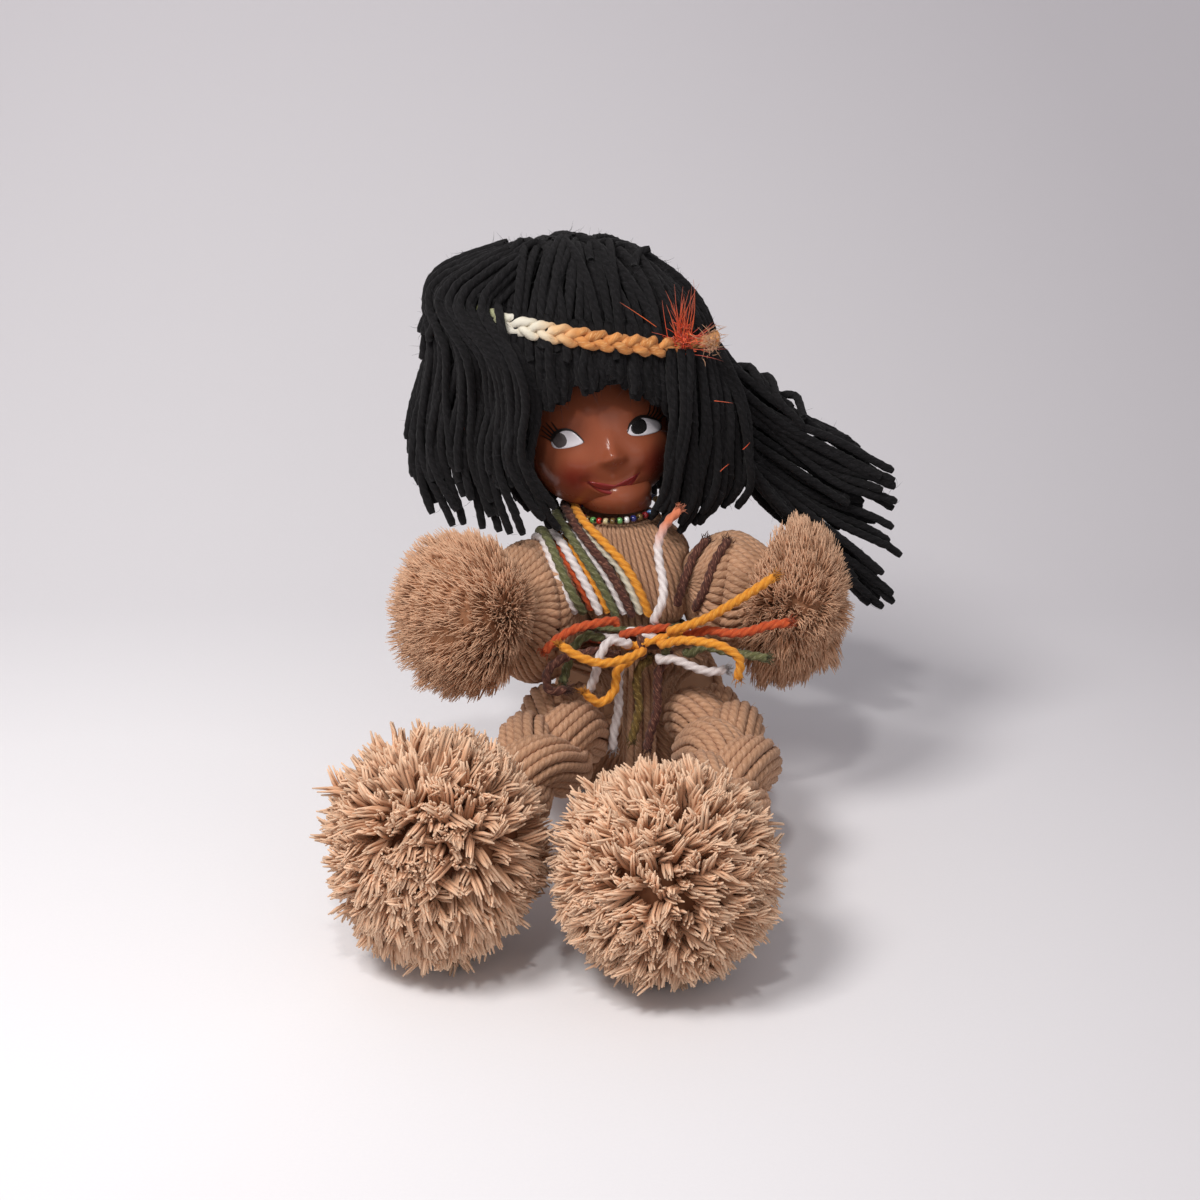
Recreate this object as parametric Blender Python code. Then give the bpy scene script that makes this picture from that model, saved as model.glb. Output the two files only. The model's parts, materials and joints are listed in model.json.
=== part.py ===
"""A yarn doll that sits on the floor: tan hanks for body, arms and legs, pompom hands and feet, a moulded
face, black yarn hair with a braided band, a fan of sash yarns tied in a bow, and a string of seed beads.

Metres, +Z up, +X to the doll's left hand side as a viewer sees it from the front, and the doll looks along -Y.
The origin is the middle of the flat seat on the floor, under the waist."""

import math

import bmesh
import bpy
from mathutils import Euler, Matrix, Vector

# Fits
SEAT_GAP = 0.0003  # between pieces that touch
SOCKET_GAP = 0.0007  # round the balls of the arms, legs and neck, which turn in their sockets
FLAT_DEPTH = 0.0005  # how far a soft form is pressed flat on the floor
OVERRUN = 0.02  # how far a cutter runs past what it cuts

# Yarns
BOW_YARN = 0.0042  # diameter of a bow end, which hangs loose
SASH_YARN = 0.0027  # pressed thinner where it is held against the body
TIE_YARN = 0.0024
BAND_CORD = 0.0070

# Body: one thick hank, from the seat to the neck
BODY_HEIGHT = 0.1315
BODY_HALF_WIDTH = 0.040
BODY_HALF_DEPTH = 0.036
BODY_BACK = 0.008  # how far the pelvis lies behind the origin
BODY_LEAN = -0.010  # the neck's offset towards -X
# height, half width, half depth, centre forward or back, and sideways lean, each as a share of its size above
BODY_SHARES = [
    (0.0, 0.72, 0.72, 1.0, 0.0),
    (0.05, 0.88, 0.90, 1.0, 0.0),
    (0.18, 1.0, 1.0, 1.0, 0.0),
    (0.38, 0.98, 0.97, 0.8, 0.0),
    (0.50, 0.84, 0.84, 0.4, 0.05),
    (0.57, 0.47, 0.68, 0.1, 0.1),
    (0.64, 0.47, 0.68, 0.0, 0.2),
    (0.74, 0.74, 0.72, 0.0, 0.3),
    (0.86, 0.80, 0.72, 0.5, 0.6),
    (0.95, 0.66, 0.62, 0.9, 0.85),
    (1.0, 0.47, 0.52, 1.0, 1.0),
]
BODY_SIDES = 24

# Neck: a bound knob between the body and the head
NECK_RISE = 0.0075
NECK = Vector((BODY_LEAN, BODY_BACK, BODY_HEIGHT + NECK_RISE))
NECK_BALL = 0.013

# Shoulders and arms
LEFT_BALL = 0.026
LEFT_SHOULDER_OUT = 0.008  # past the body's half width
LEFT_SHOULDER_DROP = 0.0345  # below the top of the body
LEFT_SHOULDER = Vector((-BODY_HALF_WIDTH - LEFT_SHOULDER_OUT, -0.006, BODY_HEIGHT - LEFT_SHOULDER_DROP))
LEFT_WRIST = LEFT_SHOULDER + Vector((-0.016, -0.032, 0.007))
RIGHT_BALL = 0.0225
RIGHT_SHOULDER_DROP = 0.0275
RIGHT_SHOULDER = Vector((BODY_HALF_WIDTH, -0.003, BODY_HEIGHT - RIGHT_SHOULDER_DROP))
RIGHT_WRIST = RIGHT_SHOULDER + Vector((0.0195, -0.017, -0.002))
WRIST = 0.0105  # radius
HAND_BACK = 0.006  # how far a hand's pile stands back over the wrist
LEFT_HAND = LEFT_WRIST + Vector((-0.0145, -0.008, 0.002))
LEFT_HAND_SIZE = Vector((0.0305, 0.032, 0.037))
RIGHT_HAND = RIGHT_WRIST + Vector((0.0025, 0.001, 0.0))
RIGHT_HAND_SIZE = Vector((0.031, 0.034, 0.041))

# Hips and legs
HIP_BALL = 0.023
HIP_IN = 0.010  # inside the body's half width
HIP_HEIGHT = 0.044
LEFT_HIP = Vector((HIP_IN - BODY_HALF_WIDTH, -0.014, HIP_HEIGHT))
LEFT_KNEE = LEFT_HIP + Vector((-0.013, -0.052, 0.004))
LEFT_ANKLE = LEFT_KNEE + Vector((-0.023, -0.046, 0.002))
RIGHT_HIP = Vector((BODY_HALF_WIDTH - HIP_IN, -0.016, HIP_HEIGHT))
RIGHT_KNEE = RIGHT_HIP + Vector((0.013, -0.066, 0.005))
RIGHT_ANKLE = RIGHT_KNEE + Vector((-0.017, -0.052, 0.0))
LEG = 0.0215  # radius
ANKLE = 0.013
LEFT_FOOT_SIZE = Vector((0.0445, 0.048, 0.0505))
LEFT_FOOT = LEFT_ANKLE + Vector((-0.018, -0.038, LEFT_FOOT_SIZE.z - FLAT_DEPTH - LEFT_ANKLE.z))
RIGHT_FOOT_SIZE = Vector((0.0455, 0.046, 0.0475))
RIGHT_FOOT = RIGHT_ANKLE + Vector((-0.018, -0.038, RIGHT_FOOT_SIZE.z - FLAT_DEPTH - RIGHT_ANKLE.z))
LEG_DOWN = math.radians(60)  # how far the legs hang down from the sitting pose
LEG_UP = 0.0

# Head
HEAD = NECK + Vector((-0.008, 0.010, 0.034))
HEAD_HALF_WIDTH = 0.033
HEAD_RISE = 0.036  # from its middle to the top
HEAD_DROP = 0.031  # from its middle to the chin
FACE_DEPTH = 0.030
HEAD_BACK = 0.034
HEAD_TURN = Euler((math.radians(-12), math.radians(-10), math.radians(10)), "ZYX")
MASK_WALL = 0.0016
NOSE = 0.0045
CHEEK = 0.0022
CHIN = 0.0020
COLLAR = NECK + Vector((-0.0005, -0.0015, 0.0015))  # the middle of the neck collar's lower edge
COLLAR_RADIUS = 0.0160
COLLAR_HEIGHT = 0.0095

# Hair
CROWN = HEAD + Vector((-0.015, 0.008, 0.025))
CROWN_SIZE = Vector((0.064, 0.048, 0.055))
CROWN_DROP = 0.020  # from its middle to its lower edge
CROWN_FOOT = CROWN.z - CROWN_DROP
FRINGE_RISE = 0.0145  # from the crown's middle to the fringe's upper edge
FRINGE_DROP = 0.004
FRINGE_DEPTH = 0.014  # how far in front of the head's middle the fringe ends
FRINGE_TOP = CROWN.z + FRINGE_RISE
FRINGE_FOOT = CROWN.z - FRINGE_DROP
FRINGE_BACK = HEAD.y - FRINGE_DEPTH
FRINGE_NOTCH = 0.0075
# the locks' middles, as shares of the crown's size from its middle, and their half widths and half thicknesses
LOCK_HALF_WIDTH = 0.012
LOCK_HALF_DEPTH = 0.0075
LOCK_SHARES = {
    "lock_left_front": (
        1.0,
        [(-0.50, -0.46, -0.30), (-0.55, -0.47, -0.60), (-0.52, -0.50, -0.90), (-0.44, -0.48, -1.12)],
    ),
    "lock_left_side": (
        0.85,
        [(-0.76, -0.06, -0.28), (-0.90, -0.12, -0.55), (-0.92, -0.24, -0.90), (-0.84, -0.26, -1.20)],
    ),
    "lock_left_outer": (
        0.70,
        [(-0.86, 0.24, 0.0), (-1.02, 0.22, -0.38), (-1.03, 0.22, -0.80), (-0.92, 0.16, -1.20)],
    ),
    "lock_back_left": (
        1.3,
        [(-0.52, 0.60, -0.28), (-0.56, 0.70, -0.70), (-0.50, 0.74, -1.10), (-0.46, 0.66, -1.45)],
    ),
    "lock_back_middle": (
        1.3,
        [(0.02, 0.80, -0.28), (0.02, 0.94, -0.70), (0.04, 0.90, -1.15), (0.06, 0.80, -1.55)],
    ),
    "lock_back_right": (
        1.2,
        [(0.60, 0.66, -0.28), (0.62, 0.76, -0.70), (0.60, 0.80, -1.05), (0.56, 0.74, -1.40)],
    ),
    "lock_right_front": (
        0.6,
        [(0.84, -0.28, -0.30), (0.94, -0.28, -0.50), (1.02, -0.25, -0.80), (1.14, -0.20, -1.08)],
    ),
    "wing_upper": (
        0.66,
        [(0.80, 0.02, -0.06), (1.15, -0.02, -0.20), (1.65, -0.06, -0.50), (2.02, -0.08, -0.74), (2.42, -0.08, -0.95)],
    ),
    "wing_middle": (
        0.66,
        [(0.78, 0.10, -0.30), (1.05, 0.06, -0.54), (1.50, 0.0, -0.88), (2.00, -0.04, -1.25), (2.44, -0.06, -1.52)],
    ),
    "wing_lower": (
        0.66,
        [(0.55, 0.34, -0.30), (0.84, 0.28, -0.72), (1.25, 0.12, -1.08), (1.62, 0.02, -1.44), (2.00, -0.02, -1.84),
         (2.42, -0.04, -2.22)],
    ),
}
WING_THICKNESS_SHARE = 0.9
LOCK_SIDES = 10

# Headband, feather and beads
BAND_RISE = 0.0215  # above the crown's middle
BAND_MIDDLE_HEIGHT = CROWN.z + BAND_RISE
BAND_SLOPE = 0.165  # it lies higher on the -X side
BAND_BACK_DROP = 0.10
BAND_POINTS = 40
FEATHER_HEIGHT = 0.021
FEATHER_HALF_WIDTH = 0.0105
FEATHER_THICKNESS = 0.0022
BEAD = 0.0031
BEAD_RING = 0.0185
BEAD_RISE = 0.0047
BEAD_RING_HEIGHT = BODY_HEIGHT + BEAD_RISE
BEAD_TILT = 0.09
BEAD_SIDES = 5

# Waist
WAIST_TURNS = 3
WAIST_SHARE = 0.5551  # how far up the body its first turn lies
WAIST_FOOT = BODY_HEIGHT * WAIST_SHARE
WAIST_PITCH = 0.0036
WAIST_SLOPE = 0.36  # the turns lie higher in front
WAIST_YARN = 0.0030
TURN_POINTS = 20
KNOT_SHARE = 0.9972  # how far forward of the origin it lies, in half depths of the body
KNOT_RISE = 0.0175
KNOT = Vector((0.004, -BODY_HALF_DEPTH * KNOT_SHARE, WAIST_FOOT + KNOT_RISE))
KNOT_SIZE = Vector((0.019, 0.0065, 0.0075))

# Colours, roughness
TAN = (0.43, 0.25, 0.15)
PALE_TAN = (0.52, 0.31, 0.19)
BLACK = (0.012, 0.011, 0.012)
SKIN = (0.26, 0.07, 0.035)
GOLD = (0.79, 0.30, 0.03)
RUST = (0.52, 0.08, 0.02)
GREEN = (0.16, 0.18, 0.07)
WHITE = (0.75, 0.70, 0.68)
BROWN = (0.10, 0.04, 0.03)
OLIVE = (0.16, 0.10, 0.025)
BAND_ORANGE = (0.68, 0.26, 0.07)
FEATHER_RED = (0.70, 0.06, 0.01)
CREAM = (0.70, 0.62, 0.45)


def finish(name, mesh, colour, roughness=0.95):
    """A named object of a mesh, shaded smooth, with its own material."""
    thing = bpy.data.objects.new(name, mesh)
    bpy.context.scene.collection.objects.link(thing)
    material = bpy.data.materials.new(name)
    material.use_nodes = True
    surface = material.node_tree.nodes["Principled BSDF"]
    surface.inputs["Base Color"].default_value = (*colour, 1.0)
    surface.inputs["Roughness"].default_value = roughness
    thing.data.materials.append(material)
    if isinstance(mesh, bpy.types.Mesh):
        mesh.shade_smooth()
    return thing


def cutter(name, mesh):
    """A shape that only cuts others."""
    thing = bpy.data.objects.new(name, mesh)
    bpy.context.scene.collection.objects.link(thing)
    thing.hide_render = True
    thing.display_type = "WIRE"
    return thing


def cut(thing, *cutters):
    for shape in cutters:
        step = thing.modifiers.new("cut", "BOOLEAN")
        step.operation = "DIFFERENCE"
        step.solver = "EXACT"
        step.object = shape


def mesh_of_rings(name, rings):
    """A closed mesh over rings of points, with a flat face at each end."""
    shape = bmesh.new()
    rows = [[shape.verts.new(point) for point in ring] for ring in rings]
    sides = len(rows[0])
    for low, high in zip(rows, rows[1:]):
        for i in range(sides):
            shape.faces.new((low[i], low[(i + 1) % sides], high[(i + 1) % sides], high[i]))
    shape.faces.new(list(reversed(rows[0])))
    shape.faces.new(rows[-1])
    bmesh.ops.recalc_face_normals(shape, faces=shape.faces)
    mesh = bpy.data.meshes.new(name)
    shape.to_mesh(mesh)
    shape.free()
    return mesh


def ring_at(middle, along, half_width, half_depth, sides, widest=Vector((1, 0, 0))):
    """Points of an ellipse square to a direction, its width along the widest axis."""
    along = along.normalized()
    side = (widest - along * widest.dot(along)).normalized()
    other = along.cross(side)
    points = []
    for i in range(sides):
        angle = 2 * math.pi * i / sides
        points.append(middle + side * half_width * math.cos(angle) + other * half_depth * math.sin(angle))
    return points


def smooth_route(points, steps):
    """Points evenly spread on a smooth curve through the given ones."""
    path = [points[0] * 2 - points[1], *points, points[-1] * 2 - points[-2]]
    fine = 12
    dense = []
    for a, b, c, d in zip(path, path[1:], path[2:], path[3:]):
        for i in range(fine):
            t = i / fine
            dense.append(
                0.5 * (2 * b + (c - a) * t + (2 * a - 5 * b + 4 * c - d) * t**2 + (3 * b - 3 * c + d - a) * t**3)
            )
    dense.append(points[-1])
    lengths = [0.0]
    for a, b in zip(dense, dense[1:]):
        lengths.append(lengths[-1] + (b - a).length)
    route, at = [], 0
    for i in range(steps + 1):
        wanted = lengths[-1] * i / steps
        while at < len(dense) - 2 and lengths[at + 1] < wanted:
            at += 1
        share = (wanted - lengths[at]) / max(lengths[at + 1] - lengths[at], SEAT_GAP * SEAT_GAP)
        route.append(dense[at].lerp(dense[at + 1], min(1.0, share)))
    return route


def cord(name, points, diameter, colour, closed=False):
    """A round yarn along a route of straight steps."""
    curve = bpy.data.curves.new(name, "CURVE")
    curve.dimensions = "3D"
    curve.bevel_depth = diameter / 2
    curve.bevel_resolution = 2
    curve.use_fill_caps = True
    line = curve.splines.new("POLY")
    line.points.add(len(points) - 1)
    for place, point in zip(line.points, points):
        place.co = (*point, 1.0)
    line.use_cyclic_u = closed
    return finish(name, curve, colour)


def ball_mesh(name, middle, size, segments=24, rings=14, turn=None):
    """An ellipsoid."""
    shape = bmesh.new()
    bmesh.ops.create_uvsphere(shape, u_segments=segments, v_segments=rings, radius=1.0)
    place = Matrix.Translation(middle) @ (turn or Matrix.Identity(4)) @ Matrix.Diagonal((*size, 1.0))
    bmesh.ops.transform(shape, matrix=place, verts=shape.verts)
    mesh = bpy.data.meshes.new(name)
    shape.to_mesh(mesh)
    shape.free()
    return mesh


def keep_side(mesh, point, away):
    """Cuts a closed mesh with a plane, drops what lies on the side that away points to, and closes it."""
    shape = bmesh.new()
    shape.from_mesh(mesh)
    everything = [*shape.verts, *shape.edges, *shape.faces]
    bmesh.ops.bisect_plane(
        shape, geom=everything, dist=SEAT_GAP / 100, plane_co=point, plane_no=away, clear_outer=True
    )
    rim = [edge for edge in shape.edges if edge.is_boundary]
    bmesh.ops.contextual_create(shape, geom=rim)
    bmesh.ops.recalc_face_normals(shape, faces=shape.faces)
    shape.to_mesh(mesh)
    shape.free()
    return mesh


def box_mesh(name, low, high):
    shape = bmesh.new()
    bmesh.ops.create_cube(shape, size=1.0)
    size = high - low
    place = Matrix.Translation((low + high) / 2) @ Matrix.Diagonal((*size, 1.0))
    bmesh.ops.transform(shape, matrix=place, verts=shape.verts)
    mesh = bpy.data.meshes.new(name)
    shape.to_mesh(mesh)
    shape.free()
    return mesh


# Body


def body_section(height):
    """Half width, half depth and middle of the body at a height."""
    share = min(max(height / BODY_HEIGHT, 0.0), 1.0)
    for low, high in zip(BODY_SHARES, BODY_SHARES[1:]):
        if share <= high[0]:
            t = (share - low[0]) / (high[0] - low[0])
            width, depth, back, lean = (low[i] + (high[i] - low[i]) * t for i in range(1, 5))
            break
    return (
        width * BODY_HALF_WIDTH,
        depth * BODY_HALF_DEPTH,
        Vector((lean * BODY_LEAN, back * BODY_BACK, height)),
    )


def within_body(point, clear):
    """Whether a point lies in the body or in a shoulder, all grown by a clearance."""
    if (point - LEFT_SHOULDER).length < LEFT_BALL + clear or (point - RIGHT_SHOULDER).length < RIGHT_BALL + clear:
        return True
    if point.z > BODY_HEIGHT + clear:
        return False
    for lift in (0.0, clear):
        width, depth, middle = body_section(point.z - lift)
        if ((point.x - middle.x) / (width + clear)) ** 2 + ((point.y - middle.y) / (depth + clear)) ** 2 < 1:
            return True
    return False


def laid_on_body(point, outward, clear):
    """The place nearest the body on a line through a point, where a yarn lies clear of it."""
    outward = outward.normalized()
    step = clear / 8
    place = point + outward * BODY_HALF_WIDTH * 2
    while not within_body(place, clear) and (place - point).dot(outward) > -BODY_HALF_WIDTH:
        place = place - outward * step
    return place + outward * step


def lifted_off(point, clear):
    """The point itself, or where it comes clear of the body on its way straight out of it."""
    out = Vector((0, point.y - BODY_BACK, SASH_YARN * 3))
    while within_body(point, clear):
        point = point + out / 100
    return point


def make_body():
    rings = []
    for height_share, *_ in BODY_SHARES:
        width, depth, middle = body_section(height_share * BODY_HEIGHT)
        rings.append(ring_at(middle, Vector((0, 0, 1)), width, depth, BODY_SIDES))
    body = finish("body_bundle", mesh_of_rings("body_bundle", rings), TAN)
    cut(
        body,
        cutter("left_shoulder_cut", ball_mesh("cut", LEFT_SHOULDER, Vector((1, 1, 1)) * (LEFT_BALL + SOCKET_GAP), 28)),
        cutter("right_shoulder_cut", ball_mesh("cut", RIGHT_SHOULDER, Vector((1, 1, 1)) * (RIGHT_BALL + SOCKET_GAP), 28)),
        cutter("neck_cut", ball_mesh("cut", NECK, Vector((1, 1, 1)) * (NECK_BALL + SOCKET_GAP), 24)),
    )
    for side, hip, outer in ((-1, LEFT_HIP, -BODY_HALF_WIDTH), (1, RIGHT_HIP, BODY_HALF_WIDTH)):
        cut(body, cutter("hip_cut", ball_mesh("cut", hip, Vector((1, 1, 1)) * (HIP_BALL + SOCKET_GAP), 24)))
        cut(body, cutter("thigh_cut", thigh_room(hip, side)))


def thigh_room(hip, side):
    """The room that a leg sweeps as it hangs down, as a slab beside the middle of the body."""
    reach = HIP_BALL + SOCKET_GAP
    down, up = LEG_DOWN, LEG_UP
    behind = Vector((0, math.sin(down), -math.cos(down))) * reach
    along_down = Vector((0, -math.cos(down), -math.sin(down)))
    above = Vector((0, math.sin(up), math.cos(up))) * reach
    along_up = Vector((0, -math.cos(up), math.sin(up)))
    run = (hip.z + OVERRUN) / math.sin(down)
    profile = [
        hip + behind,
        hip + behind + along_down * run,
        hip + along_down * run - Vector((0, BODY_HALF_DEPTH * 2, 0)),
        hip + above + along_up * (BODY_HALF_DEPTH * 2 + OVERRUN),
        hip + above,
    ]
    inner = hip.x - side * reach
    outer = side * (BODY_HALF_WIDTH + OVERRUN)
    near = [Vector((inner, p.y, p.z)) for p in profile]
    far = [Vector((outer, p.y, p.z)) for p in profile]
    return mesh_of_rings("thigh_room", [near, far])


# Limbs


def ball_rings(middle, along, ball, leave, count):
    """Rings of a ball round a joint, up to where the limb leaves it at an angle past its widest ring."""
    rings = []
    for i in range(1, count + 1):
        angle = math.pi - (math.pi / 2 + leave) * i / count
        rings.append((middle + along * ball * math.cos(angle), along, ball * math.sin(angle)))
    return rings


def arm_rings(shoulder, ball, wrist, end, grow=0.0):
    """An arm: a ball in the shoulder that runs on as a cone to the wrist, touching the ball all round."""
    along = (wrist - shoulder).normalized()
    leave = math.asin((ball - WRIST) / (wrist - shoulder).length)
    rings = ball_rings(shoulder, along, ball + grow, leave, 8)
    rings += [(wrist, along, WRIST + grow), (end + along * grow, along, WRIST + grow)]
    return [ring_at(middle, way, radius, radius, 20) for middle, way, radius in rings]


def leg_rings(path, radii, grow=0.0):
    """A leg: a ball in the hip that runs on along a path with the given radii."""
    route = smooth_route(path, 10)
    along = (route[1] - route[0]).normalized()
    leave = math.acos(radii[0] / HIP_BALL)
    rings = ball_rings(route[0], along, HIP_BALL + grow, leave, 7)
    length = sum((b - a).length for a, b in zip(route, route[1:]))
    travelled = 0.0
    for i in range(1, len(route)):
        travelled += (route[i] - route[i - 1]).length
        if travelled < HIP_BALL * math.sin(leave) * 1.2:
            continue
        tangent = route[min(i + 1, len(route) - 1)] - route[i - 1]
        share = travelled / length * (len(radii) - 1)
        low = min(int(share), len(radii) - 2)
        radius = radii[low] + (radii[low + 1] - radii[low]) * (share - low)
        rings.append((route[i], tangent, radius + grow))
    return [ring_at(middle, way, radius, radius, 16) for middle, way, radius in rings]


def tie_ring(name, middle, along, inner, colour):
    """A turn of thin yarn round a wrist or an ankle."""
    radius = inner + SEAT_GAP + TIE_YARN / 2
    points = ring_at(middle, along, radius, radius, 16)
    tie = cord(name, points, TIE_YARN, colour, closed=True)
    tie.data.bevel_resolution = 0
    return tie


def make_arm(side, shoulder, ball, wrist, hand, hand_size):
    along = (wrist - shoulder).normalized()
    tied_at = wrist + along * TIE_YARN
    end = tied_at + along * WRIST / 2
    finish(f"arm_bundle_{side}", mesh_of_rings("arm", arm_rings(shoulder, ball, wrist, end)), TAN)
    tie_ring(f"wrist_tie_{side}", tied_at, along, WRIST, TAN)
    pile = ball_mesh("hand", hand, hand_size, 20, 12)
    keep_side(pile, wrist - along * HAND_BACK, -along)
    pompom = finish(f"hand_pompom_{side}", pile, PALE_TAN)
    grown = arm_rings(shoulder, ball, wrist, end, SEAT_GAP * 2)
    cut(
        pompom,
        cutter("arm_cut", mesh_of_rings("arm_cut", grown)),
        cutter("tie_cut", wrist_pocket(tied_at, along, WRIST)),
    )


def wrist_pocket(middle, along, inner):
    """The room that a tie takes in the mouth of a pompom, open towards the limb."""
    along = along.normalized()
    radius = inner + TIE_YARN + SEAT_GAP * 3
    half = TIE_YARN / 2 + SEAT_GAP * 2
    return mesh_of_rings(
        "pocket", [ring_at(middle + along * shift, along, radius, radius, 20) for shift in (-OVERRUN, half)]
    )


def make_leg(side, hip, knee, ankle, foot, foot_size):
    along = (ankle - knee).normalized()
    end = ankle + along * ANKLE / 2
    radii = [LEG, LEG, LEG * 0.98, LEG, LEG * 0.95, ANKLE * 1.1, ANKLE]
    path = [hip, hip.lerp(knee, 0.5), knee, ankle, end]
    finish(f"leg_bundle_{side}", mesh_of_rings("leg", leg_rings(path, radii)), TAN)
    tie_ring(f"ankle_tie_{side}", ankle, along, ANKLE * 1.2, TAN)
    pile = ball_mesh("foot", foot, foot_size, 22, 14)
    floor = Vector((foot.x, foot.y, foot.z - foot_size.z + FLAT_DEPTH))
    keep_side(pile, floor, Vector((0, 0, -1)))
    pompom = finish(f"foot_pompom_{side}", pile, PALE_TAN)
    cut(
        pompom,
        cutter("leg_cut", mesh_of_rings("leg_cut", leg_rings(path, radii, SEAT_GAP * 2))),
        cutter("tie_cut", wrist_pocket(ankle, along, ANKLE * 1.2)),
    )


# Head


def head_turn():
    return HEAD_TURN.to_matrix().to_4x4()


def face_point(across, up, inward=0.0):
    """A point of the face, across and up as angles from its middle, with its cheeks, nose and chin."""
    tall = HEAD_RISE if up > 0 else HEAD_DROP
    size = Vector((HEAD_HALF_WIDTH, FACE_DEPTH, tall)) - Vector((1, 1, 1)) * inward
    way = Vector((math.sin(across) * math.cos(up), -math.cos(across) * math.cos(up), math.sin(up)))
    point = Vector((way.x * size.x, way.y * size.y, way.z * size.z))
    if inward:
        return point

    def bump(x, z, wide, high):
        return math.exp(-(((way.x - x) / wide) ** 2) - ((way.z - z) / high) ** 2)

    point.y -= NOSE * bump(0.0, -0.10, 0.13, 0.12)
    point.y -= CHEEK * (bump(0.45, -0.32, 0.24, 0.22) + bump(-0.45, -0.32, 0.24, 0.22))
    point.y -= CHIN * bump(0.0, -0.80, 0.25, 0.14)
    point.y += CHEEK * (bump(0.36, 0.12, 0.22, 0.14) + bump(-0.36, 0.12, 0.22, 0.14)) / 2
    return point


def head_ball(name, shrink, segments, rings):
    """The head's own shape, smaller by the given amount: deeper behind than in front, taller above than below."""
    shape = bmesh.new()
    bmesh.ops.create_uvsphere(shape, u_segments=segments, v_segments=rings, radius=1.0)
    for vert in shape.verts:
        deep = (FACE_DEPTH if vert.co.y < 0 else HEAD_BACK) - shrink
        tall = (HEAD_RISE if vert.co.z > 0 else HEAD_DROP) - shrink
        vert.co = Vector((vert.co.x * (HEAD_HALF_WIDTH - shrink), vert.co.y * deep, vert.co.z * tall))
    bmesh.ops.transform(shape, matrix=Matrix.Translation(HEAD) @ head_turn(), verts=shape.verts)
    mesh = bpy.data.meshes.new(name)
    shape.to_mesh(mesh)
    shape.free()
    return mesh


def tube_mesh(name, foot, height, outer, inner, sides=20):
    """A short upright tube."""
    up = Vector((0, 0, 1))
    rows = [(foot, outer), (foot + up * height, outer), (foot + up * height, inner), (foot, inner)]
    rings = [ring_at(middle, up, radius, radius, sides) for middle, radius in rows]
    shape = bmesh.new()
    lines = [[shape.verts.new(point) for point in ring] for ring in rings]
    for low, high in zip(lines, lines[1:] + lines[:1]):
        for i in range(sides):
            shape.faces.new((low[i], low[(i + 1) % sides], high[(i + 1) % sides], high[i]))
    bmesh.ops.recalc_face_normals(shape, faces=shape.faces)
    mesh = bpy.data.meshes.new(name)
    shape.to_mesh(mesh)
    shape.free()
    return mesh


def make_head():
    head = finish("head_core", head_ball("head_core", MASK_WALL + SEAT_GAP * 2, 20, 14), TAN)
    up = Vector((0, 0, 1))
    reach = COLLAR_RADIUS + SEAT_GAP * 2
    neck_room = cutter("neck_room", ball_mesh("cut", NECK, Vector((1, 1, 1)) * (NECK_BALL + SOCKET_GAP), 24))
    collar_low, collar_high = COLLAR - up * OVERRUN, COLLAR + up * (COLLAR_HEIGHT + SEAT_GAP * 2)
    collar_room = mesh_of_rings("collar_room", [ring_at(end, up, reach, reach, 24) for end in (collar_low, collar_high)])
    cut(head, neck_room, cutter("collar_room", collar_room))

    rows, columns = 13, 14
    widest, tallest = math.radians(86), math.radians(80)
    shape = bmesh.new()
    place = Matrix.Translation(HEAD) @ head_turn()
    layers = []
    for inward in (0.0, MASK_WALL):
        grid = []
        for j in range(rows + 1):
            up = -tallest + 2 * tallest * j / rows
            line = []
            for i in range(columns + 1):
                across = -widest + 2 * widest * i / columns
                line.append(shape.verts.new(place @ face_point(across, up, inward)))
            grid.append(line)
        layers.append(grid)
    outer, inner = layers
    for j in range(rows):
        for i in range(columns):
            shape.faces.new((outer[j][i], outer[j][i + 1], outer[j + 1][i + 1], outer[j + 1][i]))
            shape.faces.new((inner[j][i], inner[j + 1][i], inner[j + 1][i + 1], inner[j][i + 1]))
    rim = [(0, i) for i in range(columns)] + [(j, columns) for j in range(rows)]
    rim += [(rows, i) for i in range(columns, 0, -1)] + [(j, 0) for j in range(rows, 0, -1)]
    for (a, b), (c, d) in zip(rim, rim[1:] + rim[:1]):
        shape.faces.new((outer[c][d], outer[a][b], inner[a][b], inner[c][d]))
    bmesh.ops.recalc_face_normals(shape, faces=shape.faces)
    mesh = bpy.data.meshes.new("face_mask")
    shape.to_mesh(mesh)
    shape.free()
    mask = finish("face_mask", mesh, SKIN, 0.25)
    collar = tube_mesh("collar", COLLAR, COLLAR_HEIGHT, COLLAR_RADIUS, COLLAR_RADIUS - MASK_WALL)
    joined = mask.modifiers.new("collar", "BOOLEAN")
    joined.operation = "UNION"
    joined.solver = "EXACT"
    joined.object = cutter("collar", collar)
    cut(mask, neck_room)

    finish("neck_knob", ball_mesh("neck_knob", NECK, Vector((1, 1, 1)) * NECK_BALL, 20, 12), TAN)


# Hair


def crown_dome(name, grow=0.0, segments=28, rings=16):
    """The dome of hair over the head, with a flat lower edge."""
    mesh = ball_mesh(name, CROWN, CROWN_SIZE + Vector((1, 1, 1)) * grow, segments, rings)
    return keep_side(mesh, Vector((0, 0, CROWN_FOOT - grow)), Vector((0, 0, -1)))


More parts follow.
